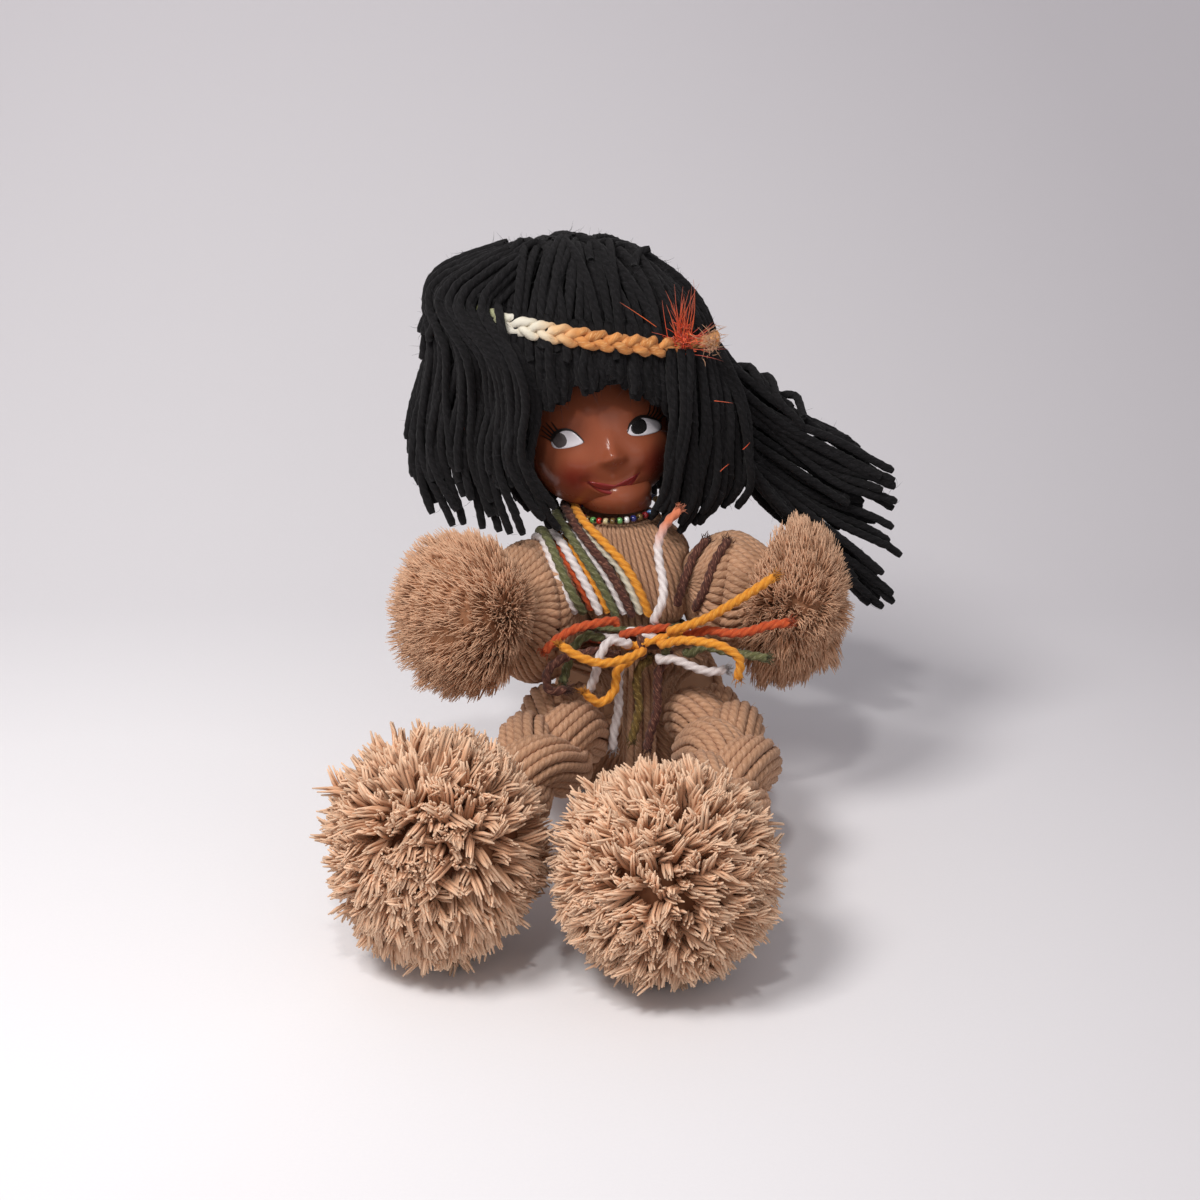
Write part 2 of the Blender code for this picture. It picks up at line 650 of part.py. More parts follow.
def make_hair():
    crown = finish("hair_crown", crown_dome("hair_crown"), BLACK)
    front_low = Vector((CROWN.x - CROWN_SIZE.x * 2, CROWN.y - CROWN_SIZE.y * 2, CROWN_FOOT - OVERRUN))
    front_high = Vector((CROWN.x + CROWN_SIZE.x * 2, FRINGE_BACK, FRINGE_TOP))
    room = cutter("head_room", head_ball("head_room", -SEAT_GAP * 3, 26, 18))
    cut(crown, room, cutter("face_room", box_mesh("face_room", front_low, front_high)))

    fringe_mesh = ball_mesh("hair_fringe", CROWN, CROWN_SIZE, 28, 16)
    keep_side(fringe_mesh, Vector((0, 0, FRINGE_TOP - SEAT_GAP)), Vector((0, 0, 1)))
    keep_side(fringe_mesh, Vector((0, 0, FRINGE_FOOT)), Vector((0, 0, -1)))
    keep_side(fringe_mesh, Vector((0, FRINGE_BACK - SEAT_GAP, 0)), Vector((0, 1, 0)))
    fringe = finish("hair_fringe", fringe_mesh, BLACK)
    notch_low = Vector((HEAD.x - FRINGE_NOTCH / 2, -OVERRUN * 3, FRINGE_FOOT - OVERRUN))
    notch_high = Vector((HEAD.x + FRINGE_NOTCH, OVERRUN, FRINGE_FOOT + FRINGE_NOTCH))
    cut(fringe, room, cutter("notch", box_mesh("notch", notch_low, notch_high)))

    dome = cutter("crown_room", crown_dome("crown_room", SEAT_GAP * 2))
    for name, (size, shares) in LOCK_SHARES.items():
        path = [CROWN + Vector([a * b for a, b in zip(share, CROWN_SIZE)]) for share in shares]
        route = smooth_route(path, 9)
        rings = []
        wing = name.startswith("wing")
        for i, middle in enumerate(route):
            ahead = route[min(i + 1, len(route) - 1)] - route[max(i - 1, 0)]
            t = i / (len(route) - 1)
            swell = (0.82 + 0.5 * t - 0.42 * t**3) * size
            if t > 0.95:
                swell *= 0.7
            thick = swell * (WING_THICKNESS_SHARE if wing else 1.0)
            widest = Vector((0, 0, 1)) if wing else Vector((1, 0, 0))
            rings.append(
                ring_at(middle, ahead, swell * LOCK_HALF_WIDTH, thick * LOCK_HALF_DEPTH, LOCK_SIDES, widest)
            )
        lock = finish(name, mesh_of_rings(name, rings), BLACK)
        cut(lock, dome, room)


# Trim on the head


def band_point(angle):
    """A point of the headband, which lies on the crown of hair in a sloping plane."""
    away = BAND_CORD / 2 + SEAT_GAP * 2
    size = CROWN_SIZE + Vector((1, 1, 1)) * away
    place = Vector((0, 0, 0))
    height = BAND_MIDDLE_HEIGHT
    for _ in range(12):
        level = math.sqrt(max(0.0, 1 - ((height - CROWN.z) / size.z) ** 2))
        place = Vector((CROWN.x + size.x * level * math.cos(angle), CROWN.y + size.y * level * math.sin(angle), 0))
        height = BAND_MIDDLE_HEIGHT - BAND_SLOPE * (place.x - CROWN.x) - BAND_BACK_DROP * (place.y - CROWN.y)
    return Vector((place.x, place.y, height))


def make_head_trim():
    points = [band_point(2 * math.pi * i / BAND_POINTS) for i in range(BAND_POINTS)]
    cord("headband", points, BAND_CORD, BAND_ORANGE, closed=True)

    angle = math.radians(-38)
    on_band = band_point(angle)
    base = on_band + Vector((0, 0, BAND_CORD / 2 + SEAT_GAP * 3))
    fan = [
        (-0.25, 0.0),
        (0.25, 0.0),
        (1.0, 0.35),
        (0.85, 0.62),
        (0.45, 0.72),
        (0.35, 0.95),
        (0.0, 1.0),
        (-0.3, 0.8),
        (-0.7, 0.72),
        (-0.8, 0.40),
    ]
    front = [base + Vector((x * FEATHER_HALF_WIDTH, -FEATHER_THICKNESS, z * FEATHER_HEIGHT)) for x, z in fan]
    back = [point + Vector((0, FEATHER_THICKNESS, 0)) for point in front]
    finish("feather", mesh_of_rings("feather", [front, back]), FEATHER_RED, 0.6)


def make_beads():
    """Seed beads on their thread, as one string round the foot of the neck."""
    count = round(2 * math.pi * BEAD_RING / BEAD)
    spacing = 2 * math.pi * BEAD_RING / count
    rings = []
    across = 0.36 * spacing / BEAD_RING
    for i in range(count):
        middle = 2 * math.pi * i / count
        for shift, radius in ((-across, BEAD * 0.40), (across * 0.8, BEAD / 2)):
            angle = middle + shift
            out = Vector((math.cos(angle), math.sin(angle), 0))
            height = BEAD_RING_HEIGHT + BEAD_TILT * BEAD_RING * math.cos(angle)
            place = Vector((NECK.x, NECK.y, height)) + out * BEAD_RING
            rings.append(
                [
                    place
                    + out * radius * math.cos(2 * math.pi * k / BEAD_SIDES)
                    + Vector((0, 0, radius * math.sin(2 * math.pi * k / BEAD_SIDES)))
                    for k in range(BEAD_SIDES)
                ]
            )
    shape = bmesh.new()
    rows = [[shape.verts.new(point) for point in ring] for ring in rings]
    for low, high in zip(rows, rows[1:] + rows[:1]):
        for k in range(BEAD_SIDES):
            following = (k + 1) % BEAD_SIDES
            shape.faces.new((low[k], low[following], high[following], high[k]))
    bmesh.ops.recalc_face_normals(shape, faces=shape.faces)
    mesh = bpy.data.meshes.new("bead_necklace")
    shape.to_mesh(mesh)
    shape.free()
    finish("bead_necklace", mesh, CREAM, 0.2)


# Waist, sash and bow


def make_waist():
    """Turns of yarn round the waist, one unbroken tube that climbs with each turn."""
    points = []
    steps = WAIST_TURNS * TURN_POINTS
    for i in range(steps + 1):
        turn = i / TURN_POINTS
        away = WAIST_YARN / 2 + SEAT_GAP * 5
        angle = 2 * math.pi * turn + math.pi / 2
        height = WAIST_FOOT + WAIST_PITCH * turn - WAIST_SLOPE * BODY_HALF_DEPTH * 0.7 * math.sin(angle)
        width, depth, middle = body_section(height)
        points.append(
            middle + Vector(((width + away) * math.cos(angle), (depth + away) * math.sin(angle), 0))
        )
    wrap = cord("waist_wrap", points, WAIST_YARN, RUST)
    wrap.data.bevel_resolution = 1
    print("least gap between the waist's turns, m:", round(WAIST_PITCH - WAIST_YARN, 5))
    finish("bow_knot", ball_mesh("bow_knot", KNOT, KNOT_SIZE, 16, 10), GOLD)


# each sash yarn: colour, layer, then its places across and up on the waist, the chest and the shoulder's front,
# and how far across it passes over the shoulder
SASH_ROUTES = {
    "sash_white_outer": (WHITE, 0, (-0.0286, 0.0985), (-0.0342, 0.1100), (-0.0432, 0.1225), -0.0462),
    "sash_green_outer": (GREEN, 1, (-0.0250, 0.0985), (-0.0311, 0.1105), (-0.0413, 0.1230), -0.0443),
    "sash_rust": (RUST, 0, (-0.0214, 0.0985), (-0.0280, 0.1115), (-0.0391, 0.1238), -0.0423),
    "sash_white_middle": (WHITE, 1, (-0.0178, 0.0985), (-0.0249, 0.1123), (-0.0371, 0.1247), -0.0403),
    "sash_gold_middle": (GOLD, 0, (-0.0142, 0.0985), (-0.0218, 0.1132), (-0.0349, 0.1256), -0.0383),
    "sash_green_inner": (GREEN, 1, (-0.0106, 0.0985), (-0.0187, 0.1141), (-0.0329, 0.1264), -0.0363),
    "sash_white_inner": (WHITE, 0, (-0.0070, 0.0985), (-0.0156, 0.1152), (-0.0307, 0.1270), -0.0343),
    "sash_brown": (BROWN, 1, (-0.0034, 0.0985), (-0.0125, 0.1165), (-0.0286, 0.1275), -0.0323),
    "sash_cream": (CREAM, 0, (0.0002, 0.0985), (-0.0092, 0.1180), (-0.0266, 0.1280), -0.0303),
    "sash_gold_inner": (GOLD, 1, (0.0041, 0.0985), (-0.0055, 0.1190), (-0.0244, 0.1285), -0.0283),
}
SHOULDER_BACK = 0.010  # how far back of the shoulder's front the yarns turn down
SASH_BACK_SHIFT = 0.010  # how far across they move on the way down the back


def make_sash():
    ahead, above, behind = Vector((0, -1, 0)), Vector((0, 0, 1)), Vector((0, 1, 0))
    across = Vector((1, 0, 0))
    for name, (colour, layer, waist, chest, shoulder, over) in SASH_ROUTES.items():
        clear = SASH_YARN / 2 + SEAT_GAP * 2.2 + layer * (SASH_YARN + SEAT_GAP)
        at_waist, at_chest, at_shoulder = (Vector((x, 0, z)) for x, z in (waist, chest, shoulder))
        on_top = Vector((over, 0, shoulder[1]))
        places = [
            laid_on_body(at_waist, ahead, clear),
            laid_on_body(at_chest, ahead, clear),
            laid_on_body(at_shoulder - above * SASH_YARN, ahead + above * 0.8, clear),
            laid_on_body(on_top - above * SASH_YARN, above, clear),
            laid_on_body(on_top + behind * SHOULDER_BACK - above * SASH_YARN * 2, behind + above, clear),
            laid_on_body(at_chest + across * SASH_BACK_SHIFT / 2 - above * SASH_YARN, behind, clear),
            laid_on_body(at_waist + across * SASH_BACK_SHIFT - above * SASH_YARN * 2, behind, clear),
        ]
        route = [lifted_off(point, clear) for point in smooth_route(places, 12)]
        cord(name, route, SASH_YARN, colour).data.bevel_resolution = 1
    for name, route in SHOULDER_ROUTES.items():
        clear = BOW_YARN / 2 + SEAT_GAP * 2.2
        places = [laid_on_body(Vector((x, 0, z)), Vector((0, -1, lift)), clear) for x, z, lift in route]
        route = [lifted_off(point, clear) for point in smooth_route(places, 6)]
        cord(name, route, BOW_YARN, BROWN)


SHOULDER_ROUTES = {
    "shoulder_yarn_inner": [(0.0160, 0.1005, 0), (0.0190, 0.1090, 0), (0.0240, 0.1170, 0.3), (0.0300, 0.1200, 0.8)],
    "shoulder_yarn_outer": [(0.0240, 0.0980, 0), (0.0280, 0.1080, 0), (0.0330, 0.1150, 0.3), (0.0390, 0.1180, 0.8)],
}

# each bow yarn: colour, the side of the knot that it leaves, then its route
BOW_ROUTES = {
    "tail_white_up": (
        WHITE,
        (0.3, -0.2, 1.0),
        [(0.0085, -0.0400, 0.1060), (0.0100, -0.0345, 0.1130), (0.0085, -0.0290, 0.1210), (0.0075, -0.0235, 0.1290),
         (0.0105, -0.0185, 0.1365), (0.0175, -0.0150, 0.1435)],
    ),
    "tail_gold_right": (
        GOLD,
        (1.0, -0.5, 0.5),
        [(0.0175, -0.0455, 0.0995), (0.0255, -0.0485, 0.1035), (0.0350, -0.0520, 0.1105), (0.0455, -0.0555, 0.1190),
         (0.0570, -0.0580, 0.1285)],
    ),
    "tail_rust_right": (
        RUST,
        (1.0, -0.2, 0.15),
        [(0.0245, -0.0430, 0.0965), (0.0300, -0.0455, 0.0980), (0.0385, -0.0510, 0.0990), (0.0480, -0.0555, 0.1020),
         (0.0560, -0.0580, 0.1060), (0.0640, -0.0590, 0.1075)],
    ),
    "tail_green_right": (
        GREEN,
        (1.0, -0.1, -0.25),
        [(0.0240, -0.0400, 0.0885), (0.0290, -0.0425, 0.0885), (0.0355, -0.0455, 0.0885), (0.0455, -0.0500, 0.0885),
         (0.0550, -0.0540, 0.0885)],
    ),
    "loop_gold_right": (
        GOLD,
        (0.8, -1.0, 0.1),
        [(0.0140, -0.0490, 0.0945), (0.0210, -0.0535, 0.0965), (0.0305, -0.0580, 0.0970), (0.0385, -0.0600, 0.0950),
         (0.0430, -0.0600, 0.0890), (0.0420, -0.0590, 0.0810)],
    ),
    "loop_white_right": (
        WHITE,
        (0.6, -0.6, -0.8),
        [(0.0120, -0.0450, 0.0850), (0.0180, -0.0475, 0.0835), (0.0250, -0.0490, 0.0815), (0.0320, -0.0500, 0.0800),
         (0.0375, -0.0490, 0.0810)],
    ),
    "loop_gold_left": (
        GOLD,
        (-0.6, -1.0, -0.3),
        [(-0.0030, -0.0490, 0.0885), (-0.0090, -0.0530, 0.0870), (-0.0180, -0.0560, 0.0870), (-0.0275, -0.0565, 0.0905),
         (-0.0355, -0.0550, 0.0955)],
    ),
    "loop_gold_down": (
        GOLD,
        (-1.2, -0.6, -0.8),
        [(-0.0070, -0.0435, 0.0840), (-0.0105, -0.0465, 0.0790), (-0.0115, -0.0490, 0.0720), (-0.0140, -0.0510, 0.0670),
         (-0.0200, -0.0530, 0.0670), (-0.0250, -0.0540, 0.0725)],
    ),
    "strand_white_left": (
        WHITE,
        (-1.5, -0.9, 0.1),
        [(-0.0110, -0.0460, 0.0945), (-0.0160, -0.0485, 0.0920), (-0.0190, -0.0500, 0.0840), (-0.0205, -0.0490, 0.0760),
         (-0.0225, -0.0470, 0.0700)],
    ),
    "curl_brown_left": (
        BROWN,
        (-1.0, -0.1, -0.35),
        [(-0.0150, -0.0405, 0.0865), (-0.0230, -0.0425, 0.0860), (-0.0310, -0.0455, 0.0860), (-0.0385, -0.0480, 0.0830),
         (-0.0420, -0.0495, 0.0765), (-0.0385, -0.0505, 0.0700), (-0.0325, -0.0510, 0.0720)],
    ),
    "tail_green_left": (
        GREEN,
        (-1.0, 0.0, 0.0),
        [(-0.0185, -0.0375, 0.0925), (-0.0250, -0.0370, 0.0915), (-0.0300, -0.0380, 0.0860), (-0.0325, -0.0405, 0.0785),
         (-0.0345, -0.0440, 0.0725)],
    ),
    "tail_rust_left": (
        RUST,
        (-1.0, 0.0, 0.35),
        [(-0.0140, -0.0385, 0.0995), (-0.0200, -0.0400, 0.0990), (-0.0290, -0.0425, 0.0975), (-0.0380, -0.0455, 0.0930),
         (-0.0425, -0.0470, 0.0885)],
    ),
    "tail_white_down": (
        WHITE,
        (-1.2, 0.1, -1.0),
        [(-0.0070, -0.0375, 0.0820), (-0.0100, -0.0400, 0.0740), (-0.0095, -0.0430, 0.0620), (-0.0115, -0.0440, 0.0500),
         (-0.0125, -0.0440, 0.0400)],
    ),
    "tail_olive_down": (
        OLIVE,
        (0.0, 0.1, -1.0),
        [(0.0020, -0.0375, 0.0810), (-0.0020, -0.0400, 0.0730), (-0.0005, -0.0430, 0.0620), (-0.0020, -0.0440, 0.0520),
         (-0.0040, -0.0440, 0.0440)],
    ),
    "tail_brown_down": (
        BROWN,
        (1.2, 0.1, -1.0),
        [(0.0110, -0.0375, 0.0810), (0.0070, -0.0400, 0.0730), (0.0080, -0.0430, 0.0620), (0.0050, -0.0440, 0.0500),
         (0.0030, -0.0440, 0.0400)],
    ),
}


def make_bow():
    for name, (colour, side, route) in BOW_ROUTES.items():
        way = Vector(side)
        reach = 1 / math.sqrt(sum((a / b) ** 2 for a, b in zip(way, KNOT_SIZE)))
        start = KNOT + way * reach
        out = Vector([a / b**2 for a, b in zip(start - KNOT, KNOT_SIZE)]).normalized()
        start += out * SEAT_GAP * 2
        points = [start + out * BOW_YARN * 0.7, *(Vector(point) for point in route)]
        length = sum((b - a).length for a, b in zip(points, points[1:]))
        steps = max(4, round(length / (2.2 * BOW_YARN)))
        cord(name, [start, *smooth_route(points, steps)], BOW_YARN, colour)


for old in list(bpy.data.objects):
    bpy.data.objects.remove(old, do_unlink=True)

make_body()
make_arm("left", LEFT_SHOULDER, LEFT_BALL, LEFT_WRIST, LEFT_HAND, LEFT_HAND_SIZE)
make_arm("right", RIGHT_SHOULDER, RIGHT_BALL, RIGHT_WRIST, RIGHT_HAND, RIGHT_HAND_SIZE)
make_leg("left", LEFT_HIP, LEFT_KNEE, LEFT_ANKLE, LEFT_FOOT, LEFT_FOOT_SIZE)
make_leg("right", RIGHT_HIP, RIGHT_KNEE, RIGHT_ANKLE, RIGHT_FOOT, RIGHT_FOOT_SIZE)
make_head()
make_hair()
make_head_trim()
make_beads()
make_waist()
make_sash()
make_bow()
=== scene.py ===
# %% [markdown]
# # Dressing a yarn doll
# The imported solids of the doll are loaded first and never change. Everything below lays yarn, pile, paint and
# beads over them, in the same place and in metres, so each piece starts from what the solids say.

# %% Load the solids
import json
import math

import bmesh
import bpy
import numpy as np
from mathutils import Euler, Matrix, Vector
from mathutils.bvhtree import BVHTree

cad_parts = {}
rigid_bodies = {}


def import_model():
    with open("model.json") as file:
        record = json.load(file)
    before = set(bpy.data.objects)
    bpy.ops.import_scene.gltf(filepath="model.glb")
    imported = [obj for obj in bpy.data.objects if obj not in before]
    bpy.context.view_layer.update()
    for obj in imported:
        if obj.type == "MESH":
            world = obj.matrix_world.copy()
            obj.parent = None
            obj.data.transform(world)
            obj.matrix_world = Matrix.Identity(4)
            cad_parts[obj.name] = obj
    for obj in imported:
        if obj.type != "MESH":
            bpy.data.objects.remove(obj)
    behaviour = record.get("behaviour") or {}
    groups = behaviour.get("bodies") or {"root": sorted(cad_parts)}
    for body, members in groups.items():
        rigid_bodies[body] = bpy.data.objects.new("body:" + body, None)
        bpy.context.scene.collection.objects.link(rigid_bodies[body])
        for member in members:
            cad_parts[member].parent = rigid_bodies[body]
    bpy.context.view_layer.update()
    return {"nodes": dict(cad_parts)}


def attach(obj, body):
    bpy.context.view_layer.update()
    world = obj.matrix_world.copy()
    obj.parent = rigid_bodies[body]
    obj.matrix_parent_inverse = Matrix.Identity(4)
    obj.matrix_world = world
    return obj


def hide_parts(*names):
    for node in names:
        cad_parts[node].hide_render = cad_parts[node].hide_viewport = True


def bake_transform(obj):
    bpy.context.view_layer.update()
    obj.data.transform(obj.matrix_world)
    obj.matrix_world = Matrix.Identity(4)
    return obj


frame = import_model()
print("solids:", len(frame["nodes"]))

# %% [markdown]
# ## The camera
# The photograph looks down on the doll by about 22 degrees from a little over a metre away. The camera is made
# first, because what it sees decides how loose yarns may lie.

# %% The camera
bpy.ops.object.camera_add(location=(-0.018, -1.0199, 0.5061), rotation=(math.radians(68), 0, 0))
camera = bpy.context.object
camera.data.lens = 72.45
camera.data.sensor_width = 36
bpy.context.scene.camera = camera
print("camera height:", round(camera.location.z, 3))

# %% [markdown]
# ## Yarn colours
# Wool isn't one colour. Each fibre catches the light differently, painted shade lies in the grooves between the
# plies, and no two lengths match. One node group makes that for every yarn here: it mixes a painted shade colour,
# the yarn's colour and a few flecks, and gives a height for the fibres. The pattern follows each yarn's own UV map,
# so it runs along it.

# %% The yarn group
def socket(group, name, kind, value=None, output=False):
    made = group.interface.new_socket(name, in_out="OUTPUT" if output else "INPUT", socket_type=kind)
    if value is not None:
        made.default_value = value
    return made


def node(group, kind, inputs=None, **settings):
    """A node with its settings and the values or links of its inputs."""
    made = group.nodes.new(kind)
    for name, value in settings.items():
        setattr(made, name, value)
    for name, value in (inputs or {}).items():
        if isinstance(value, bpy.types.NodeSocket):
            group.links.new(value, made.inputs[name])
        else:
            made.inputs[name].default_value = value
    return made


def mix(group, share, first, second, blend="MIX"):
    """A colour between two, by a share."""
    made = node(group, "ShaderNodeMix", data_type="RGBA", blend_type=blend)
    for place, value in ((0, share), (6, first), (7, second)):
        if isinstance(value, bpy.types.NodeSocket):
            group.links.new(value, made.inputs[place])
        else:
            made.inputs[place].default_value = value
    return made.outputs[2]


def sum_of(group, kind, first, second):
    return node(group, "ShaderNodeMath", {0: first, 1: second}, operation=kind).outputs[0]


def build_yarn_group():
    group = bpy.data.node_groups.new("Wool yarn", "ShaderNodeTree")
    socket(group, "Colour", "NodeSocketColor", (0.5, 0.3, 0.2, 1))
    socket(group, "Shade", "NodeSocketColor", (0.2, 0.1, 0.05, 1))
    socket(group, "Fleck", "NodeSocketColor", (0.8, 0.7, 0.6, 1))
    socket(group, "Fleck amount", "NodeSocketFloat", 0.2)
    socket(group, "Strand", "NodeSocketFloat", 0.5)
    socket(group, "Plies", "NodeSocketFloat", 3.0)
    socket(group, "Colour", "NodeSocketColor", output=True)
    socket(group, "Height", "NodeSocketFloat", output=True)
    start = group.nodes.new("NodeGroupInput").outputs
    end = group.nodes.new("NodeGroupOutput").inputs
    along = node(group, "ShaderNodeUVMap").outputs[0]
    places = node(group, "ShaderNodeTexCoord").outputs["Object"]
    stretched = node(group, "ShaderNodeMapping", {"Vector": along, "Scale": (9.0, 30.0, 1.0)}).outputs[0]
    fibres = node(group, "ShaderNodeTexNoise", {"Vector": stretched, "Scale": 1.0, "Detail": 3.0}).outputs[0]
    clumps = node(group, "ShaderNodeTexNoise", {"Vector": places, "Scale": 160.0, "Detail": 2.0}).outputs[0]
    flecks = node(group, "ShaderNodeTexNoise", {"Vector": stretched, "Scale": 0.6, "Detail": 1.0}).outputs[0]
    # Painted shade: the grooves between the plies take the shade colour and the plies' tops the yarn's colour.
    around = node(group, "ShaderNodeSeparateXYZ", {0: along}).outputs[1]
    turn = sum_of(group, "MULTIPLY", sum_of(group, "MULTIPLY", around, start["Plies"]), 2 * math.pi)
    groove = node(group, "ShaderNodeMath", {0: turn}, operation="COSINE").outputs[0]
    top = node(group, "ShaderNodeMapRange", {"Value": groove, "From Min": -1.0, "From Max": 0.4}).outputs[0]
    light = node(group, "ShaderNodeMapRange", {"Value": fibres, "From Min": 0.3, "From Max": 0.7}).outputs[0]
    share = sum_of(group, "ADD", sum_of(group, "MULTIPLY", light, 0.5), sum_of(group, "MULTIPLY", top, 0.35))
    share = sum_of(group, "ADD", share, sum_of(group, "MULTIPLY", clumps, 0.3))
    base = mix(group, share, start["Shade"], start["Colour"])
    tone = node(
        group, "ShaderNodeMapRange", {"Value": start["Strand"], "To Min": 0.86, "To Max": 1.1}
    ).outputs[0]
    toned = node(group, "ShaderNodeVectorMath", {0: base, 3: tone}, operation="SCALE").outputs[0]
    fleck = node(group, "ShaderNodeMapRange", {"Value": flecks, "From Min": 0.56, "From Max": 0.66}).outputs[0]
    fleck = sum_of(group, "MULTIPLY", fleck, start["Fleck amount"])
    group.links.new(mix(group, fleck, toned, start["Fleck"]), end["Colour"])
    group.links.new(sum_of(group, "ADD", fibres, sum_of(group, "MULTIPLY", top, 0.6)), end["Height"])
    return group


WOOL = build_yarn_group()
print("group sockets:", len(WOOL.interface.items_tree))

# %% [markdown]
# A yarn material places that group and hands it a random value for each strand. The shader itself stays in the
# material, where its sheen stands for the soft fibres that stick out.

# %% A yarn material
def wool(name, colour, shade, fleck=None, amount=0.15, sheen=0.25, rise=0.0004, plies=3.0):
    """A matt wool: its colour, the painted shade colour of its grooves, and its flecks."""
    material = bpy.data.materials.new(name)
    material.use_nodes = True
    tree = material.node_tree
    surface = tree.nodes["Principled BSDF"]
    strand = node(tree, "ShaderNodeNewGeometry").outputs["Random Per Island"]
    group = node(tree, "ShaderNodeGroup", node_tree=WOOL)
    for place, value in (("Colour", colour), ("Shade", shade), ("Fleck", fleck or colour)):
        group.inputs[place].default_value = (*value, 1)
    group.inputs["Fleck amount"].default_value = amount
    group.inputs["Plies"].default_value = plies
    tree.links.new(strand, group.inputs["Strand"])
    bump = node(tree, "ShaderNodeBump", {"Height": group.outputs["Height"], "Strength": 0.7, "Distance": rise})
    tree.links.new(group.outputs["Colour"], surface.inputs["Base Color"])
    tree.links.new(bump.outputs[0], surface.inputs["Normal"])
    surface.inputs["Roughness"].default_value = 0.92
    surface.inputs["Specular IOR Level"].default_value = 0.15
    surface.inputs["Sheen Weight"].default_value = sheen
    surface.inputs["Sheen Roughness"].default_value = 0.5
    surface.inputs["Sheen Tint"].default_value = (*(0.35 + 0.65 * c for c in colour), 1)
    return material


# The second colour of each wool is the painted shade for its grooves.
tan_wool = wool("tan wool", (0.57, 0.33, 0.20), (0.28, 0.135, 0.072), (0.78, 0.52, 0.37), 0.35, plies=4.0)
black_wool = wool("black wool", (0.0125, 0.0115, 0.0125), (0.003, 0.003, 0.0032), (0.036, 0.034, 0.038), 0.3, 0.10)
gold_wool = wool("gold wool", (0.84, 0.36, 0.045), (0.50, 0.14, 0.012), (0.95, 0.58, 0.16), 0.35)
rust_wool = wool("rust wool", (0.58, 0.10, 0.030), (0.25, 0.028, 0.012), (0.72, 0.30, 0.12), 0.25)
green_wool = wool("green wool", (0.155, 0.155, 0.068), (0.045, 0.048, 0.020), (0.40, 0.38, 0.25), 0.45)
white_wool = wool("white wool", (0.80, 0.74, 0.725), (0.46, 0.38, 0.37), (0.90, 0.86, 0.84), 0.2)
brown_wool = wool("brown wool", (0.115, 0.045, 0.034), (0.030, 0.012, 0.010), (0.42, 0.20, 0.13), 0.55)
olive_wool = wool("olive wool", (0.20, 0.125, 0.035), (0.05, 0.028, 0.009), (0.45, 0.33, 0.12), 0.6)
cream_wool = wool("cream wool", (0.72, 0.67, 0.54), (0.40, 0.34, 0.24), (0.82, 0.80, 0.68), 0.3)
tipped_wool = wool("tipped white wool", (0.80, 0.74, 0.725), (0.46, 0.38, 0.37), (0.90, 0.86, 0.84), 0.2)
tree = tipped_wool.node_tree
high = node(tree, "ShaderNodeSeparateXYZ", {0: node(tree, "ShaderNodeTexCoord").outputs["Object"]}).outputs[2]
dyed = node(tree, "ShaderNodeMapRange", {"Value": high, "From Min": 0.128, "From Max": 0.1395, "To Max": 0.92}).outputs[0]
plain = next(n for n in tree.nodes if n.type == "GROUP").outputs["Colour"]
tree.links.new(mix(tree, dyed, plain, (0.66, 0.17, 0.06, 1)), tree.nodes["Principled BSDF"].inputs["Base Color"])
print("wools:", sum(1 for m in bpy.data.materials if "wool" in m.name or "pile" in m.name))

# %% [markdown]
# Cut pile is another matter. Each strand of it is deep in painted shade at its root and frays out pale at its tip,
# so its colour follows the share of its length. The pale tips are partly the frayed wool and partly painted light.

# %% The cut pile
def pile_material(name, root, middle, tip, sheen=0.35):
    """A cut pile, from painted shade at its roots to the pale, partly painted light colour of its frayed tips."""
    material = bpy.data.materials.new(name)
    material.use_nodes = True
    tree = material.node_tree
    surface = tree.nodes["Principled BSDF"]
    strand = node(tree, "ShaderNodeNewGeometry").outputs["Random Per Island"]
    share = node(tree, "ShaderNodeSeparateXYZ", {0: node(tree, "ShaderNodeUVMap").outputs[0]}).outputs[0]
    places = node(tree, "ShaderNodeTexCoord").outputs["Object"]
    clumps = node(tree, "ShaderNodeTexNoise", {"Vector": places, "Scale": 120.0, "Detail": 3.0}).outputs[0]
    wander = sum_of(tree, "MULTIPLY", sum_of(tree, "SUBTRACT", clumps, 0.5), 0.55)
    # Painted shade at the roots and, in part, painted light at the tips: the ramp runs from the dark root colour to the
    # pale tip colour.
    steps = tree.nodes.new("ShaderNodeValToRGB")
    tree.links.new(sum_of(tree, "ADD", share, wander), steps.inputs[0])
    ramp = steps.color_ramp
    ramp.elements[0].position, ramp.elements[0].color = 0.10, (*root, 1)
    ramp.elements[-1].position, ramp.elements[-1].color = 0.98, (*tip, 1)
    ramp.elements.new(0.60).color = (*middle, 1)
    tone = node(tree, "ShaderNodeMapRange", {"Value": strand, "To Min": 0.80, "To Max": 1.14}).outputs[0]
    toned = node(tree, "ShaderNodeVectorMath", {0: steps.outputs[0], 3: tone}, operation="SCALE").outputs[0]
    tree.links.new(toned, surface.inputs["Base Color"])
    surface.inputs["Roughness"].default_value = 0.95
    surface.inputs["Specular IOR Level"].default_value = 0.1
    surface.inputs["Sheen Weight"].default_value = sheen
    surface.inputs["Sheen Tint"].default_value = (*tip, 1)
    return material


# Each pile's first colour is painted shade at the roots, and its last is partly painted light at the tips.
hand_pile = pile_material("hand pile", (0.36, 0.175, 0.095), (0.53, 0.285, 0.165), (0.70, 0.44, 0.29))
foot_pile = pile_material("foot pile", (0.42, 0.205, 0.112), (0.67, 0.39, 0.24), (0.82, 0.565, 0.395), 0.5)
print("piles:", hand_pile.name, "and", foot_pile.name)

